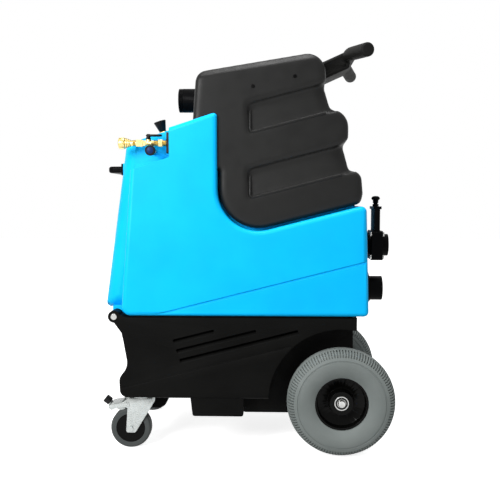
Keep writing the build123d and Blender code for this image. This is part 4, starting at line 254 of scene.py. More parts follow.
# %% Plastic and metal
# Size in metres and detail of each kind of grain
PLASTIC_TINT = (0.11, 3.0)
PLASTIC_GLOSS = (0.03, 3.0)
METAL_TINT = (0.012, 4.0)
METAL_GLOSS = (0.004, 4.0)
SCRATCHES = (0.0011, 2.0)
SCRATCH_WAY = (1, 1, 12)
SCRATCH_DEEP = 0.00004


def plastic(slot, low, high, rough, peel, height, specular=0.5, edge=0.0):
    """Moulded plastic or rubber: cloudy tint and gloss over an orange-peel skin."""
    made = new_finish(slot, specular)
    colour(made, grain(made, *PLASTIC_TINT), low, high)
    gloss(made, grain(made, *PLASTIC_GLOSS), *rough)
    relief(made, grain(made, peel), height, edge)


def metal(slot, low, high, rough, metallic=1.0):
    """Bare or plated metal: uneven tint and fine scratches along one way."""
    made = new_finish(slot, metallic=metallic)
    colour(made, grain(made, *METAL_TINT), low, high)
    gloss(made, grain(made, *METAL_GLOSS, SCRATCH_WAY), *rough)
    relief(made, grain(made, *SCRATCHES, SCRATCH_WAY), SCRATCH_DEEP)


print("plastic tints drift over", PLASTIC_TINT[0], "m, metal over", METAL_TINT[0], "m")

# %% Mouldings
plastic(
    "body_blue", (0.0010, 0.46, 0.93), (0.0016, 0.50, 0.97),
    rough=(0.40, 0.50), peel=0.0016, height=0.00006, specular=0.10, edge=0.0030,
)
plastic(
    "tank_black", (0.0066, 0.0066, 0.0063), (0.0090, 0.0090, 0.0086),
    rough=(0.38, 0.48), peel=0.0013, height=0.00014, specular=0.16,
)
plastic(
    "handle_black", (0.0104, 0.0104, 0.0099), (0.0138, 0.0138, 0.0131),
    rough=(0.50, 0.60), peel=0.0013, height=0.00014, specular=0.04,
)
plastic(
    "base_black", (0.0036, 0.0036, 0.0034), (0.0050, 0.0050, 0.0047),
    rough=(0.44, 0.56), peel=0.0013, height=0.00012, specular=0.03, edge=0.003,
)
plastic(
    "fitting_black", (0.0024, 0.0024, 0.0026), (0.0034, 0.0034, 0.0036),
    rough=(0.28, 0.40), peel=0.0009, height=0.00005, specular=0.02,
)
plastic(
    "rim_black", (0.0020, 0.0020, 0.0018), (0.0030, 0.0030, 0.0027),
    rough=(0.14, 0.24), peel=0.0040, height=0.00006, specular=0.05,
)
plastic(
    "knob_black", (0.0032, 0.0033, 0.0037), (0.0046, 0.0048, 0.0053),
    rough=(0.28, 0.38), peel=0.0007, height=0.00004, specular=0.10,
)
plastic(
    "knob_blue", (0.004, 0.018, 0.085), (0.007, 0.028, 0.12),
    rough=(0.34, 0.46), peel=0.0007, height=0.00004, specular=0.12,
)
plastic(
    "rocker_black", (0.0050, 0.0050, 0.0050), (0.0070, 0.0070, 0.0070),
    rough=(0.16, 0.26), peel=0.0007, height=0.00003,
)
print("mouldings", sorted(finishes))

# %% Pipe, foam, rubber and metal
plastic(
    "pipe_white", (0.70, 0.70, 0.67), (0.76, 0.76, 0.73),
    rough=(0.30, 0.40), peel=0.0030, height=0.00004,
)
plastic(
    "float_foam", (0.60, 0.56, 0.44), (0.70, 0.66, 0.54),
    rough=(0.75, 0.90), peel=0.0022, height=0.00050, specular=0.2,
)
plastic(
    "plenum_grey", (0.17, 0.18, 0.18), (0.21, 0.22, 0.22),
    rough=(0.42, 0.55), peel=0.0015, height=0.00010, specular=0.4,
)
plastic(
    "tyre_grey", (0.148, 0.168, 0.161), (0.176, 0.196, 0.189),
    rough=(0.62, 0.76), peel=0.0012, height=0.00016, specular=0.3,
)
plastic(
    "caster_tread", (0.052, 0.058, 0.057), (0.066, 0.072, 0.071),
    rough=(0.48, 0.62), peel=0.0010, height=0.00010, specular=0.20,
)
plastic(
    "seal_rubber", (0.006, 0.006, 0.006), (0.010, 0.010, 0.010),
    rough=(0.65, 0.80), peel=0.0009, height=0.00015, specular=0.20,
)
metal("zinc_steel", (0.36, 0.38, 0.37), (0.41, 0.43, 0.42), (0.22, 0.32), metallic=0.55)
metal("steel", (0.28, 0.28, 0.27), (0.40, 0.40, 0.39), (0.20, 0.32))
metal("dark_screws", (0.005, 0.005, 0.005), (0.009, 0.009, 0.009), (0.30, 0.45))
metal("brass", (0.56, 0.43, 0.17), (0.70, 0.56, 0.26), (0.28, 0.40))
metal("plate_metal", (0.016, 0.014, 0.013), (0.026, 0.023, 0.021), (0.28, 0.42))
metal("motor_metal", (0.44, 0.45, 0.46), (0.56, 0.57, 0.58), (0.30, 0.45))
# The pump motor is painted, so its skin is that of a plastic
plastic(
    "pump_motor_metal", (0.020, 0.021, 0.023), (0.030, 0.031, 0.033),
    rough=(0.35, 0.50), peel=0.0012, height=0.00008,
)
metal("pump_brass", (0.48, 0.35, 0.12), (0.60, 0.45, 0.18), (0.24, 0.38))
print("finishes", sorted(finishes))

# %% [markdown]
# ## Finishes on the solids
# The record says which slot each solid belongs to, and the finishes carry the slots' names, so
# one loop paints them all. Moulded and pressed pieces never have a knife edge, so every solid
# also gets a narrow bevel that catches the light; a modifier leaves the solid itself alone.

# %% Paint the solids
WELD = 1e-5
FLAT_WITHIN = radians(0.2)
BREAK_EDGE = 0.0008
BREAK_FROM = radians(40)


def break_edges(thing):
    """Joins loose triangles into flat faces and rounds the edges between them."""
    welded = thing.modifiers.new("welded", "WELD")
    welded.merge_threshold = WELD
    flat = thing.modifiers.new("flat", "DECIMATE")
    flat.decimate_type = "DISSOLVE"
    flat.angle_limit = FLAT_WITHIN
    broken = thing.modifiers.new("broken_edges", "BEVEL")
    broken.width = BREAK_EDGE
    broken.segments = 2
    broken.limit_method = "ANGLE"
    broken.angle_limit = BREAK_FROM
    broken.harden_normals = True


for row in frame["record"]["subparts"]:
    solid = nodes[row["node"]]
    solid.data.materials.clear()
    solid.data.materials.append(finishes[row["material_slot"]])
    break_edges(solid)

# %% [markdown]
# ## New pieces
# Some solids are plainer than the real thing, and a piece of the scene stands for them. The
# solid's own mesh has to stay as it is, so a piece is a form of its own, often begun as a copy.
# It rides on a body of the machine and takes its finish from a slot.

# %% Helpers for pieces
SMOOTH_UNDER = 38


def piece(form, name, body, slot, replaced=(), edge=SMOOTH_UNDER, finish=None):
    """Turns a form into an object that rides on a body; edges over that angle stay sharp."""
    mesh = bpy.data.meshes.new(name)
    form.to_mesh(mesh)
    form.free()
    mesh.shade_smooth()
    mesh.set_sharp_from_angle(angle=radians(edge))
    mesh.materials.append(finishes[finish or slot])
    made = bpy.data.objects.new(name, mesh)
    scene.collection.objects.link(made)
    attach(made, body)
    if replaced:
        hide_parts(*replaced)
    print(name, len(mesh.polygons), "faces on", body)
    return made


def copied(node):
    """A copy of a solid with its loose triangles joined."""
    form = bmesh.new()
    form.from_mesh(nodes[node].data)
    bmesh.ops.remove_doubles(form, verts=form.verts, dist=WELD)
    return form


print("edges under", SMOOTH_UNDER, "degrees look smooth")

# %% [markdown]
# ## Recovery tank
# A rotomoulded tank has no crisp edge anywhere: its scooped bands melt into the sides. A bevel
# on every edge would break where the bands run out, so a copy of the solid is remeshed into
# even squares and relaxed, as sculptors soften a block-out. The bands' lips are relaxed more.

# %% Softened tank
TANK_SQUARE = 0.0044
TANK_ROUNDS = 3


def relax(form, verts, rounds):
    """Moves vertices halfway to the middle of their neighbours, some rounds over."""
    for _ in range(rounds):
        bmesh.ops.smooth_vert(
            form, verts=verts, factor=0.5, use_axis_x=True, use_axis_y=True, use_axis_z=True
        )


def softened(node, square, rounds):
    """A relaxed copy of a solid, made of squares of that size."""
    form = copied(node)
    rough = bpy.data.meshes.new("block_out")
    form.to_mesh(rough)
    form.free()
    block = bpy.data.objects.new("block_out", rough)
    scene.collection.objects.link(block)
    skin = block.modifiers.new("skin", "REMESH")
    skin.mode = "VOXEL"
    skin.voxel_size = square
    shaped = block.evaluated_get(bpy.context.evaluated_depsgraph_get())
    even = bpy.data.meshes.new_from_object(shaped)
    bpy.data.objects.remove(block)
    form = bmesh.new()
    form.from_mesh(even)
    relax(form, form.verts, rounds)
    return form


shell = softened("recovery_tank", TANK_SQUARE, TANK_ROUNDS)
print("tank softened at", len(shell.verts), "points")

# %% Lips of the bands
# The bands climb to the rear; their tops are given at the mark along the tank
RAKE = radians(14.3)
BAND_FRONT = 0.00225
BAND_MARK = 0.10225
BAND_TOPS = (0.884, 0.7265)
LIP_REACH = (-0.010, 0.018)
LIP_SIDE = 0.16
LIP_AHEAD = 0.006
LIP_ROUNDS = 9


def near_lip(place, top):
    """True close to a band's upper lip, on the tank's sides."""
    under = top + (place.x - BAND_MARK) * tan(RAKE) - place.z
    beside = abs(place.y) > LIP_SIDE and place.x > BAND_FRONT - LIP_AHEAD
    return beside and LIP_REACH[0] < under < LIP_REACH[1]


for top in BAND_TOPS:
    lip = [vert for vert in shell.verts if near_lip(vert.co, top)]
    relax(shell, lip, LIP_ROUNDS)
    print("lip at", top, "relaxed at", len(lip), "points")
piece(shell, "recovery_shell", "upper", "tank_black", ["recovery_tank"], edge=180)

# %% [markdown]
# ## Band beads
# A thin bead frames each scooped band at its front and foot. It could be a curve with a round
# section; here a circle is drawn down the front edge, spun round the corner and drawn along,
# so that each stretch keeps a clean ring of edges.

# %% Helpers for drawn shapes
def only(kind, parts):
    """The vertices, edges or faces among the parts that an operator made."""
    return [part for part in parts if isinstance(part, kind)]


def drawn(form, edges, way):
    """Extrudes a ring of edges along a way and returns the new ring."""
    grown = bmesh.ops.extrude_edge_only(form, edges=edges)["geom"]
    fresh = only(bmesh.types.BMVert, grown)
    bmesh.ops.translate(form, verts=fresh, vec=way)
    rims = only(bmesh.types.BMEdge, grown)
    return [rim for rim in rims if all(vert in fresh for vert in rim.verts)]


def joined(*forms):
    """One form from several."""
    whole = bmesh.new()
    for form in forms:
        part = bpy.data.meshes.new("part")
        form.to_mesh(part)
        form.free()
        whole.from_mesh(part)
        bpy.data.meshes.remove(part)
    return whole


print("rings can be drawn and forms joined")

# %% Band beads
SIDES = {"left": -1, "right": 1}
BEAD_R = 0.0038
BEAD_IN = 0.0065
BEAD_SIDES = 10
BEAD_CORNER = 0.008
CORNER_STEPS = 8
# Depth under the band's top, and distance from the machine's middle
BEAD_HEAD = (0.016, 0.1905)
BEAD_FOOT = (0.069, 0.2026)
BEAD_ENDS = (0.180, 0.220)


def bead(top, end, side):
    """One bead: down the band's front edge, round the corner, then along its foot."""
    form = bmesh.new()
    bmesh.ops.create_circle(form, cap_ends=True, radius=BEAD_R, segments=BEAD_SIDES)
    high, high_y = BEAD_HEAD
    low, low_y = BEAD_FOOT
    front = BAND_FRONT + BEAD_IN
    line = top + (front - BAND_MARK) * tan(RAKE)
    bmesh.ops.translate(form, verts=form.verts, vec=(front, side * high_y, line - high))
    ring = drawn(form, form.edges[:], (0, side * (low_y - high_y), high - low + BEAD_CORNER))
    corner = (front + BEAD_CORNER, side * low_y, line - low + BEAD_CORNER)
    spun = bmesh.ops.spin(
        form, geom=ring, cent=corner, axis=(0, -1, 0), angle=radians(90) + RAKE,
        steps=CORNER_STEPS,
    )
    run = (end - front) / cos(RAKE)
    ring = only(bmesh.types.BMEdge, spun["geom_last"])
    drawn(form, ring, (run * cos(RAKE), 0, run * sin(RAKE)))
    bmesh.ops.recalc_face_normals(form, faces=form.faces)
    return form


beads = [
    bead(top, end, side)
    for top, end in zip(BAND_TOPS, BEAD_ENDS)
    for side in SIDES.values()
]
piece(joined(*beads), "band_beads", "upper", "tank_black", edge=60)

# %% [markdown]
# ## Push handle
# The neck of the handle has a sunk panel on each side between two ribs. A boolean could cut
# it; here the solid's flat side is inset and pressed in, which keeps its outline.

# %% Push handle
PANEL_FACING = 0.999
PANEL_AREA = 0.001
PANEL_RIM = 0.003
PANEL_DEEP = 0.004


def press_in(form, faces, rim, depth):
    """Presses patches of faces in by a depth, inside a narrow rim."""
    bmesh.ops.inset_region(
        form, faces=faces, thickness=rim, depth=-depth, use_even_offset=True, use_boundary=True
    )


handle = copied("push_handle")
bmesh.ops.dissolve_limit(
    handle, angle_limit=FLAT_WITHIN, verts=handle.verts, edges=handle.edges,
    use_dissolve_boundaries=False,
)
panels = [
    face for face in handle.faces
    if abs(face.normal.y) > PANEL_FACING and face.calc_area() > PANEL_AREA
]
press_in(handle, panels, PANEL_RIM, PANEL_DEEP)
piece(
    handle, "handle_moulding", "upper", "tank_black", ["push_handle"],
    edge=35, finish="handle_black",
)

# %% [markdown]
# ## Louvres
# The cooling slots are scooped: the lower lip slopes in. They could be cut anew, but the tub's
# copy already has straight slots, so only their lower outer edges are drawn down.

# %% Louvres
SLOTS = 3
SLOT_FIRST = (-0.17875, 0.282)
SLOT_STEP = (0.008, 0.0243)
SLOT_TOP = 0.3065
SLOT_HALF = 0.0025
SLOT_REACH = 1.2 * SLOT_HALF
# How far an edge goes down for its depth in the slot, by its distance from the middle
SLOT_GROW = {0.207: 2.3, 0.204: 1.5}
tub = copied("base_tub")
for row in range(SLOTS):
    start = Vector((SLOT_FIRST[0] + SLOT_STEP[0] * row, 0.0, SLOT_FIRST[1] - SLOT_STEP[1] * row))
    length = (SLOT_TOP - start.z) / sin(RAKE)
    for vert in tub.verts:
        grow = SLOT_GROW.get(round(abs(vert.co.y), 4))
        if grow is None:
            continue
        off = vert.co - start
        along = off.x * cos(RAKE) + off.z * sin(RAKE)
        across = off.z * cos(RAKE) - off.x * sin(RAKE)
        if -SLOT_REACH < along < length + SLOT_REACH and -SLOT_REACH < across < 0:
            way = grow * across
            bmesh.ops.translate(tub, verts=[vert], vec=(-sin(RAKE) * way, 0, cos(RAKE) * way))
break_edges(piece(tub, "tub_with_louvres", "base", "base_black", ["base_tub"]))

# %% [markdown]
# ## Rear tyres
# The grey tyres have full, slightly flat walls with a fine ring, and short cuts all round both
# shoulders. An array of cutters could make the cuts. Here the section is three arcs, spun about
# the axle in twice as many steps as there are cuts, so every other strip can be pressed in.

# %% Helpers for tyres
def arc(form, first, middle, last, steps):
    """Adds an arc through three (radius, offset) points in the XY plane, by spinning a point."""
    a, b, c = (Vector((*point, 0)) for point in (first, middle, last))
    ab, ac = b - a, c - a
    ab_square, ac_square = ab.length_squared, ac.length_squared
    twice = 2 * ab.cross(ac).z
    aside = (ac.y * ab_square - ab.y * ac_square, ab.x * ac_square - ac.x * ab_square, 0)
    centre = a + Vector(aside) / twice
    turn = atan2((c - centre).y, (c - centre).x) - atan2((a - centre).y, (a - centre).x)
    start = form.verts.new(a)
    bmesh.ops.spin(form, geom=[start], cent=centre, axis=(0, 0, 1), angle=turn, steps=steps)


def flipped(point):
    """The same point of a section, on the wheel's other side."""
    return point[0], -point[1]


def other_strip(rise, run, pairs):
    """True for every other strip round an axis that is divided into that many pairs."""
    return floor(atan2(rise, run) / pi * pairs) % 2 == 1


print("arcs can be drawn and strips picked")

# %% Rear tyres
MERGE = 1e-6
AXLE = Vector((0.23225, 0.0, 0.133))
WHEEL_Y = 0.203
# Points of the section: radius, and distance from the wheel's middle
TYRE_BEAD = (0.0651, 0.032)
TYRE_WALL = (0.096, 0.0410)
TYRE_SHOULDER = (0.123, 0.0345)
TYRE_CROWN = (0.133, 0)
WALL_STEPS = 16
CROWN_STEPS = 20
# Bands of radius that are pressed in
TYRE_CUTS = 112
CUT_BAND = (0.1175, 0.1318)
CUT_FROM_MIDDLE = 0.016
CUT_DEEP = 0.0042
RING_BAND = (0.1060, 0.1092)
RING_DEEP = 0.0012
PRESS_RIM = 0.0004


def tyre(side):
    """One tyre in its place, with its axle along Y."""
    form = bmesh.new()
    arc(form, TYRE_BEAD, TYRE_WALL, TYRE_SHOULDER, WALL_STEPS)
    arc(form, TYRE_SHOULDER, TYRE_CROWN, flipped(TYRE_SHOULDER), CROWN_STEPS)
    arc(form, flipped(TYRE_SHOULDER), flipped(TYRE_WALL), flipped(TYRE_BEAD), WALL_STEPS)
    bmesh.ops.remove_doubles(form, verts=form.verts, dist=MERGE)
    form.edges.new(sorted(form.verts, key=lambda vert: vert.co.x)[:2])
    bmesh.ops.spin(
        form, geom=form.verts[:] + form.edges[:], cent=(0, 0, 0), axis=(0, 1, 0),
        angle=2 * pi, steps=2 * TYRE_CUTS, use_merge=True,
    )
    bmesh.ops.remove_doubles(form, verts=form.verts, dist=MERGE)
    bmesh.ops.recalc_face_normals(form, faces=form.faces)
    cuts = []
    rings = []
    for face in form.faces:
        middle = face.calc_center_median()
        out = hypot(middle.x, middle.z)
        shoulder = CUT_BAND[0] < out < CUT_BAND[1] and abs(middle.y) > CUT_FROM_MIDDLE
        if shoulder and other_strip(middle.z, middle.x, TYRE_CUTS):
            cuts.append(face)
        if RING_BAND[0] < out < RING_BAND[1]:
            rings.append(face)
    press_in(form, cuts, PRESS_RIM, CUT_DEEP)
    press_in(form, rings, PRESS_RIM, RING_DEEP)
    bmesh.ops.translate(form, verts=form.verts, vec=AXLE + Vector((0, side * WHEEL_Y, 0)))
    return form


for name, side in SIDES.items():
    piece(
        tyre(side), f"tyre_with_cuts_{name}", f"rear_wheel_{name}", "tyre_grey",
        [f"rear_tyre_{name}"], edge=30,
    )

# %% [markdown]
# ## Turned and cut shapes
# Knobs, sleeves and pins are turned on a lathe, and channels and stampings are cut from sheet.
# Ready cylinders and cubes would lack their steps and soft edges, so a spin of a few points
# makes the first, and an extruded outline with rounded edges the second.

# %% Helpers for turned and cut shapes
def turned(profile, along, at, steps=48):
    """Spins (radius, height) points about an axis that starts at a place."""
    form = bmesh.new()
    corners = [form.verts.new((radius, 0, height)) for radius, height in profile]
    lines = [form.edges.new(pair) for pair in zip(corners, corners[1:])]
    bmesh.ops.spin(
        form, geom=corners + lines, cent=(0, 0, 0), axis=(0, 0, 1),
        angle=2 * pi, steps=steps, use_merge=True,
    )
    bmesh.ops.remove_doubles(form, verts=form.verts, dist=MERGE)
    bmesh.ops.dissolve_degenerate(form, edges=form.edges, dist=MERGE)
    bmesh.ops.recalc_face_normals(form, faces=form.faces)
    turn = Vector((0, 0, 1)).rotation_difference(Vector(along)).to_matrix().to_4x4()
    bmesh.ops.transform(form, matrix=Matrix.Translation(at) @ turn, verts=form.verts)
    return form


def cut_sheet(outline, y_low, y_high, edge):
    """Extrudes an (x, z) outline across the machine and rounds its edges."""
    form = bmesh.new()
    face = form.faces.new([form.verts.new((x, y_low, z)) for x, z in outline])
    grown = bmesh.ops.extrude_face_region(form, geom=[face])
    far = only(bmesh.types.BMVert, grown["geom"])
    bmesh.ops.translate(form, verts=far, vec=(0, y_high - y_low, 0))
    bmesh.ops.recalc_face_normals(form, faces=form.faces)
    bmesh.ops.bevel(
        form, geom=form.edges[:], offset=edge, affect="EDGES", segments=2, profile=0.5, material=-1
    )
    return form


print("profiles can be turned and sheets cut")

# %% [markdown]
# ## Louvre shade plates
# Behind the slots a dark plate on each side is painted shade: it stands in for the dark inside of
# the tub and keeps sight out of it. A dark plane would hide the inside as well, but a plate has an
# edge when the tub is open.

# %% Louvre shade plates
SHADE_PLATE_LINE = ((-0.190, 0.222), (0.080, 0.262), (0.080, 0.316), (-0.190, 0.296))
SHADE_PLATE_Y = (0.186, 0.189)
SHADE_PLATE_EDGE = 0.0006
shade_plates = [
    cut_sheet(SHADE_PLATE_LINE, side * SHADE_PLATE_Y[0], side * SHADE_PLATE_Y[1], SHADE_PLATE_EDGE)
    for side in SIDES.values()
]
# Painted shade: dark plates behind the louvres make the slots read black
piece(joined(*shade_plates), "louvre_shade_plates", "base", "base_black")

# %% [markdown]
# ## Caster brakes
# The brake is a pressed channel whose cheeks straddle the fork, with a shoe under it and a
# rubber pad on its bent end. One sheet could be bent into the channel, but its flats are easier
# to place as sheets cut to their own outlines and joined, with a turned rivet through them.

# %% Sheets at a caster
CASTER_AT = Vector((-0.29475, 0.0, 0.051))
CASTER_Y = 0.160


def at_caster(outline):
    """Moves an outline from the caster's axle to its place."""
    return [(CASTER_AT.x + x, CASTER_AT.z + z) for x, z in outline]


def bridge(outline, middle, half, edge):
    """One sheet that reaches half its width to each side of a caster's middle."""
    return cut_sheet(at_caster(outline), middle - half, middle + half, edge)


def cheeks(outline, middle, reach, edge):
    """Two sheets, one each side of a caster's middle, from the inner reach to the outer."""
    inner, outer = reach
    places = ((middle - outer, middle - inner), (middle + inner, middle + outer))
    return [cut_sheet(at_caster(outline), low, high, edge) for low, high in places]


print("casters stand at", [round(part, 5) for part in CASTER_AT], "and", CASTER_Y, "m aside")

# %% Caster brakes
CHEEK = (0.0216, 0.0231)
CHEEK_LINE = (
    (-0.001, 0.057), (-0.003, 0.069), (-0.018, 0.0685), (-0.047, 0.064), (-0.0545, 0.060),
    (-0.0545, 0.052), (-0.046, 0.0475), (-0.036, 0.052), (-0.016, 0.0545),
)
TOP_LINE = (
    (-0.020, 0.0685), (-0.047, 0.064), (-0.0545, 0.060),
    (-0.0538, 0.0585), (-0.0465, 0.0624), (-0.020, 0.0669),
)
CHANNEL_EDGE = 0.0004
SHOE_LINE = (
    (-0.014, 0.0525), (-0.034, 0.0535), (-0.036, 0.0485), (-0.026, 0.0445), (-0.014, 0.0455),
)
SHOE_HALF, SHOE_EDGE = 0.013, 0.0012
ARM_LINE = ((-0.050, 0.0635), (-0.054, 0.0590), (-0.0645, 0.0690), (-0.0610, 0.0730))
ARM_HALF, ARM_EDGE = 0.012, 0.0006
PAD_LINE = ((-0.0700, 0.0685), (-0.0630, 0.0780), (-0.0500, 0.0680), (-0.0570, 0.0585))
PAD_HALF, PAD_EDGE = 0.015, 0.0016
# The rivet's place from the axle, its head outside the cheek, and half of its section
RIVET_AT = (-0.010, 0.063)
RIVET_HEAD = 0.0015
RIVET_LINE = ((0, 0), (0.0035, 0), (0.0045, 0.0008), (0.0045, RIVET_HEAD), (0.003, RIVET_HEAD))
RIVET_STEPS = 24


def rivet(middle):
    """The pin that a brake turns on, with a rounded head at both ends."""
    length = 2 * (CHEEK[1] + RIVET_HEAD)
    far_half = tuple((radius, length - height) for radius, height in reversed(RIVET_LINE))
    off = Vector((RIVET_AT[0], middle - CHEEK[1] - RIVET_HEAD, RIVET_AT[1]))
    return turned(RIVET_LINE + far_half, (0, 1, 0), CASTER_AT + off, RIVET_STEPS)


for name, side in SIDES.items():
    middle = side * CASTER_Y
    brake = f"brake_{name}"
    channel = joined(
        *cheeks(CHEEK_LINE, middle, CHEEK, CHANNEL_EDGE),
        bridge(TOP_LINE, middle, CHEEK[1], CHANNEL_EDGE),
        bridge(SHOE_LINE, middle, SHOE_HALF, SHOE_EDGE),
        bridge(ARM_LINE, middle, ARM_HALF, ARM_EDGE),
        rivet(middle),
    )
    piece(channel, f"brake_channel_{name}", brake, "zinc_steel", [f"brake_pedal_{name}"])
    pad = bridge(PAD_LINE, middle, PAD_HALF, PAD_EDGE)
    piece(pad, f"brake_pad_{name}", brake, "seal_rubber")

# %% [markdown]
# ## Caster forks
# A fork is one stamping: two flat legs with clipped lower corners, folded down from the crown.
# It could be bent with a modifier, but its three flats are simply cut and joined.

# %% Caster forks
LEG = (0.019, 0.0215)
LEG_EDGE = 0.0006
LEG_LINE = (
    (-0.0105, -0.0065), (-0.0070, -0.0105), (0.0112, -0.0105), (0.0148, -0.0075),
    (0.0560, 0.0600), (0.0575, 0.0780), (-0.0020, 0.0780), (-0.0170, 0.0690),
    (-0.0165, 0.0570), (-0.0065, 0.0520),
)
CROWN_LINE = ((-0.0020, 0.0752), (-0.0020, 0.0787), (0.0575, 0.0787), (0.0575, 0.0752))
CROWN_EDGE = 0.0012
for name, side in SIDES.items():
    middle = side * CASTER_Y
    stamping = joined(
        *cheeks(LEG_LINE, middle, LEG, LEG_EDGE),
        bridge(CROWN_LINE, middle, LEG[1], CROWN_EDGE),
    )
    fork = f"caster_fork_{name}"
    piece(stamping, f"fork_stamping_{name}", f"caster_{name}", "zinc_steel", [fork])

# %% [markdown]
# ## Drain valve
# The cast gate valve is slimmer than its solid, whose walls were kept thick for the blade. A
# scaled copy would spoil its round bores, so only the flat faces of the copy are drawn in. The
# blade keeps its plate, and its stem and pull knob are turned.

# %% Drain valve
FACE_WITHIN = 2e-5
# The piece and slot for each node, and the places along X that its faces move from and to
SLIMMED = {
    "gate_valve": (
        "drain_valve_body", "fitting_black", ((0.34425, 0.34125), (0.31025, 0.31325)),
    ),
    "gate_bonnet": (
        "drain_valve_bonnet", "fitting_black",
        ((0.33825, 0.33425), (0.31625, 0.32025), (0.34125, 0.33725), (0.31325, 0.31725)),
    ),
    "gate_bolts": (
        "drain_valve_bolts", "steel",
        ((0.34775, 0.34475), (0.34425, 0.34125), (0.30675, 0.30975), (0.31025, 0.31325)),
    ),
}


def drawn_in(node, faces):
    """A copy of a solid with the flats at some places along X moved to others."""
    form = copied(node)
    for was, now in faces:
        flat = [vert for vert in form.verts if abs(vert.co.x - was) < FACE_WITHIN]
        bmesh.ops.translate(form, verts=flat, vec=(now - was, 0, 0))
    return form


for node, (name, slot, faces) in SLIMMED.items():
    break_edges(piece(drawn_in(node, faces), name, "upper", slot, [node]))

# %% Drain pull
UP = (0, 0, 1)
GATE_X = 0.32725
GATE_Y = -0.090
BLADE_TOP = 0.546
STEM_FOOT = 0.5455
PULL_LINE = (
    (0, 0), (0.005, 0), (0.005, 0.0725), (0.0070, 0.0732), (0.0072, 0.0805), (0.0090, 0.0815),
    (0.0108, 0.0838), (0.0108, 0.0860), (0.0092, 0.0893), (0.0050, 0.0910), (0, 0.0915),
)
GLAND_FOOT = 0.6105
GLAND_LINE = ((0.0054, 0), (0.0078, 0), (0.0078, 0.0050), (0.0066, 0.0062), (0.0054, 0.0062))
GLAND_SIDES = 6
blade = copied("gate_blade")
bmesh.ops.bisect_plane(
    blade, geom=blade.verts[:] + blade.edges[:] + blade.faces[:],
    plane_co=(0, 0, BLADE_TOP), plane_no=UP, clear_outer=True,
)
bmesh.ops.holes_fill(blade, edges=blade.edges[:], sides=0)
pull = turned(PULL_LINE, UP, (GATE_X, GATE_Y, STEM_FOOT))
piece(joined(blade, pull), "drain_pull", "blade", "fitting_black", ["gate_blade"])
gland = turned(GLAND_LINE, UP, (GATE_X, GATE_Y, GLAND_FOOT), GLAND_SIDES)
piece(gland, "drain_gland_nut", "upper", "fitting_black")

# %% [markdown]
# ## Brass line
# The quick coupler's sleeve is knurled for the fingers and its tail has grip rings, and pipe
# threads show beside the hexes. A bump in the finish would be flat at the outline, so the knurl
# is every other strip of the turned sleeve pressed in, and the threads are turned rings. The
# valve's flat lever wears a dipped plastic sheath, a block with rounded edges.

# %% Knurled sleeve
REARWARD = (1, 0, 0)
LINE = Vector((0.0, -0.195, 0.7646))
SLEEVE_X = -0.31125
SLEEVE_LINE = (
    (0.00706, 0), (0.0118, 0), (0.0136, 0.0014), (0.0140, 0.0024), (0.0140, 0.0136),
    (0.0136, 0.0146), (0.0122, 0.0158), (0.0110, 0.0164), (0.0122, 0.0172), (0.0122, 0.0196),
    (0.0098, 0.0203), (0.0108, 0.0211), (0.0108, 0.0236), (0.0086, 0.0243), (0.0094, 0.0251),
    (0.0094, 0.0274), (0.0088, 0.0280), (0.00706, 0.0280), (0.00706, 0),
)
KNURLS = 36
KNURL_BAND = (0.0025, 0.0135)
KNURL_FROM_R = 0.012
KNURL_RIM = 0.0002
KNURL_DEEP = 0.0006
sleeve = turned(SLEEVE_LINE, REARWARD, (SLEEVE_X, LINE.y, LINE.z), 2 * KNURLS)
strips = []
for face in sleeve.faces:
    middle = face.calc_center_median()
    rise, run = middle.z - LINE.z, middle.y - LINE.y
    banded = KNURL_BAND[0] < middle.x - SLEEVE_X < KNURL_BAND[1]
    if banded and hypot(rise, run) > KNURL_FROM_R and other_strip(rise, run, KNURLS):
        strips.append(face)
press_in(sleeve, strips, KNURL_RIM, KNURL_DEEP)
piece(sleeve, "knurled_sleeve", "sleeve", "brass", ["coupler_sleeve"], edge=25)

# %% Pipe threads
THREAD_WALL = 0.0015
THREAD_STEPS = 32
# Start along X, turns, root and crest radius, and pitch
THREADS = (
    (-0.2250, 6, 0.0063, 0.0072, 0.0017),
    (-0.2036, 5, 0.0063, 0.0072, 0.0017),
    (-0.2765, 4, 0.0071, 0.0080, 0.0018),
)


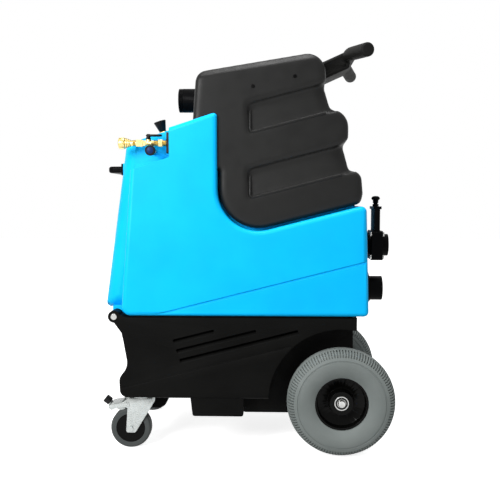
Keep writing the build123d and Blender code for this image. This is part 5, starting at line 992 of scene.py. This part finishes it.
def thread(start, turns, root, crest, pitch):
    """Rings of a pipe thread along the line."""
    profile = [(root, 0)]
    for turn in range(turns):
        profile += [(crest, (turn + 0.5) * pitch), (root, (turn + 1) * pitch)]
    profile += [(root - THREAD_WALL, turns * pitch), (root - THREAD_WALL, 0), (root, 0)]
    return turned(profile, REARWARD, (start, LINE.y, LINE.z), THREAD_STEPS)


threads = joined(*(thread(*row) for row in THREADS))
piece(threads, "pipe_threads", "upper", "brass", edge=20)

# %% Lever sheath
LEVER_AT = Vector((-0.2212, LINE.y, 0.7831))
LEVER_SIZE = (0.0310, 0.0130, 0.0052)
LEVER_EDGE = 0.0018
sheath = bmesh.new()
bmesh.ops.create_cube(sheath, size=1.0)
bmesh.ops.scale(sheath, verts=sheath.verts, vec=LEVER_SIZE)
bmesh.ops.bevel(
    sheath, geom=sheath.verts[:] + sheath.edges[:], offset=LEVER_EDGE,
    affect="EDGES", segments=3, profile=0.5, material=-1,
)
bmesh.ops.translate(sheath, verts=sheath.verts, vec=LEVER_AT)
piece(sheath, "lever_sheath", "lever", "knob_black")

# %% [markdown]
# ## Wheel bearings and prime knob
# Black seals sit in the bearings, between two bright rings, and the prime knob has a blue face
# let into its black rim. A second colour on the solids could show both, but turned rings and
# discs also have the step between the two.

# %% Seals and knob face
SEAL_Y = 0.2262
SEAL_LINE = (
    (0.0111, 0), (0.0147, 0), (0.0147, 0.0005), (0.0138, 0.0008),
    (0.0120, 0.0008), (0.0111, 0.0005), (0.0111, 0),
)
DIAL_AT = (-0.23175, -0.2170, 0.746)
DIAL_LINE = ((0, 0), (0.0082, 0), (0.0082, 0.0006), (0.0074, 0.0011), (0, 0.0014))
for name, side in SIDES.items():
    seal = turned(SEAL_LINE, (0, side, 0), (AXLE.x, side * SEAL_Y, AXLE.z))
    piece(seal, f"bearing_seal_{name}", f"rear_wheel_{name}", "seal_rubber")
dial = turned(DIAL_LINE, (0, -1, 0), DIAL_AT)
piece(dial, "prime_knob_face", "prime_knob", "body_blue", finish="knob_blue")
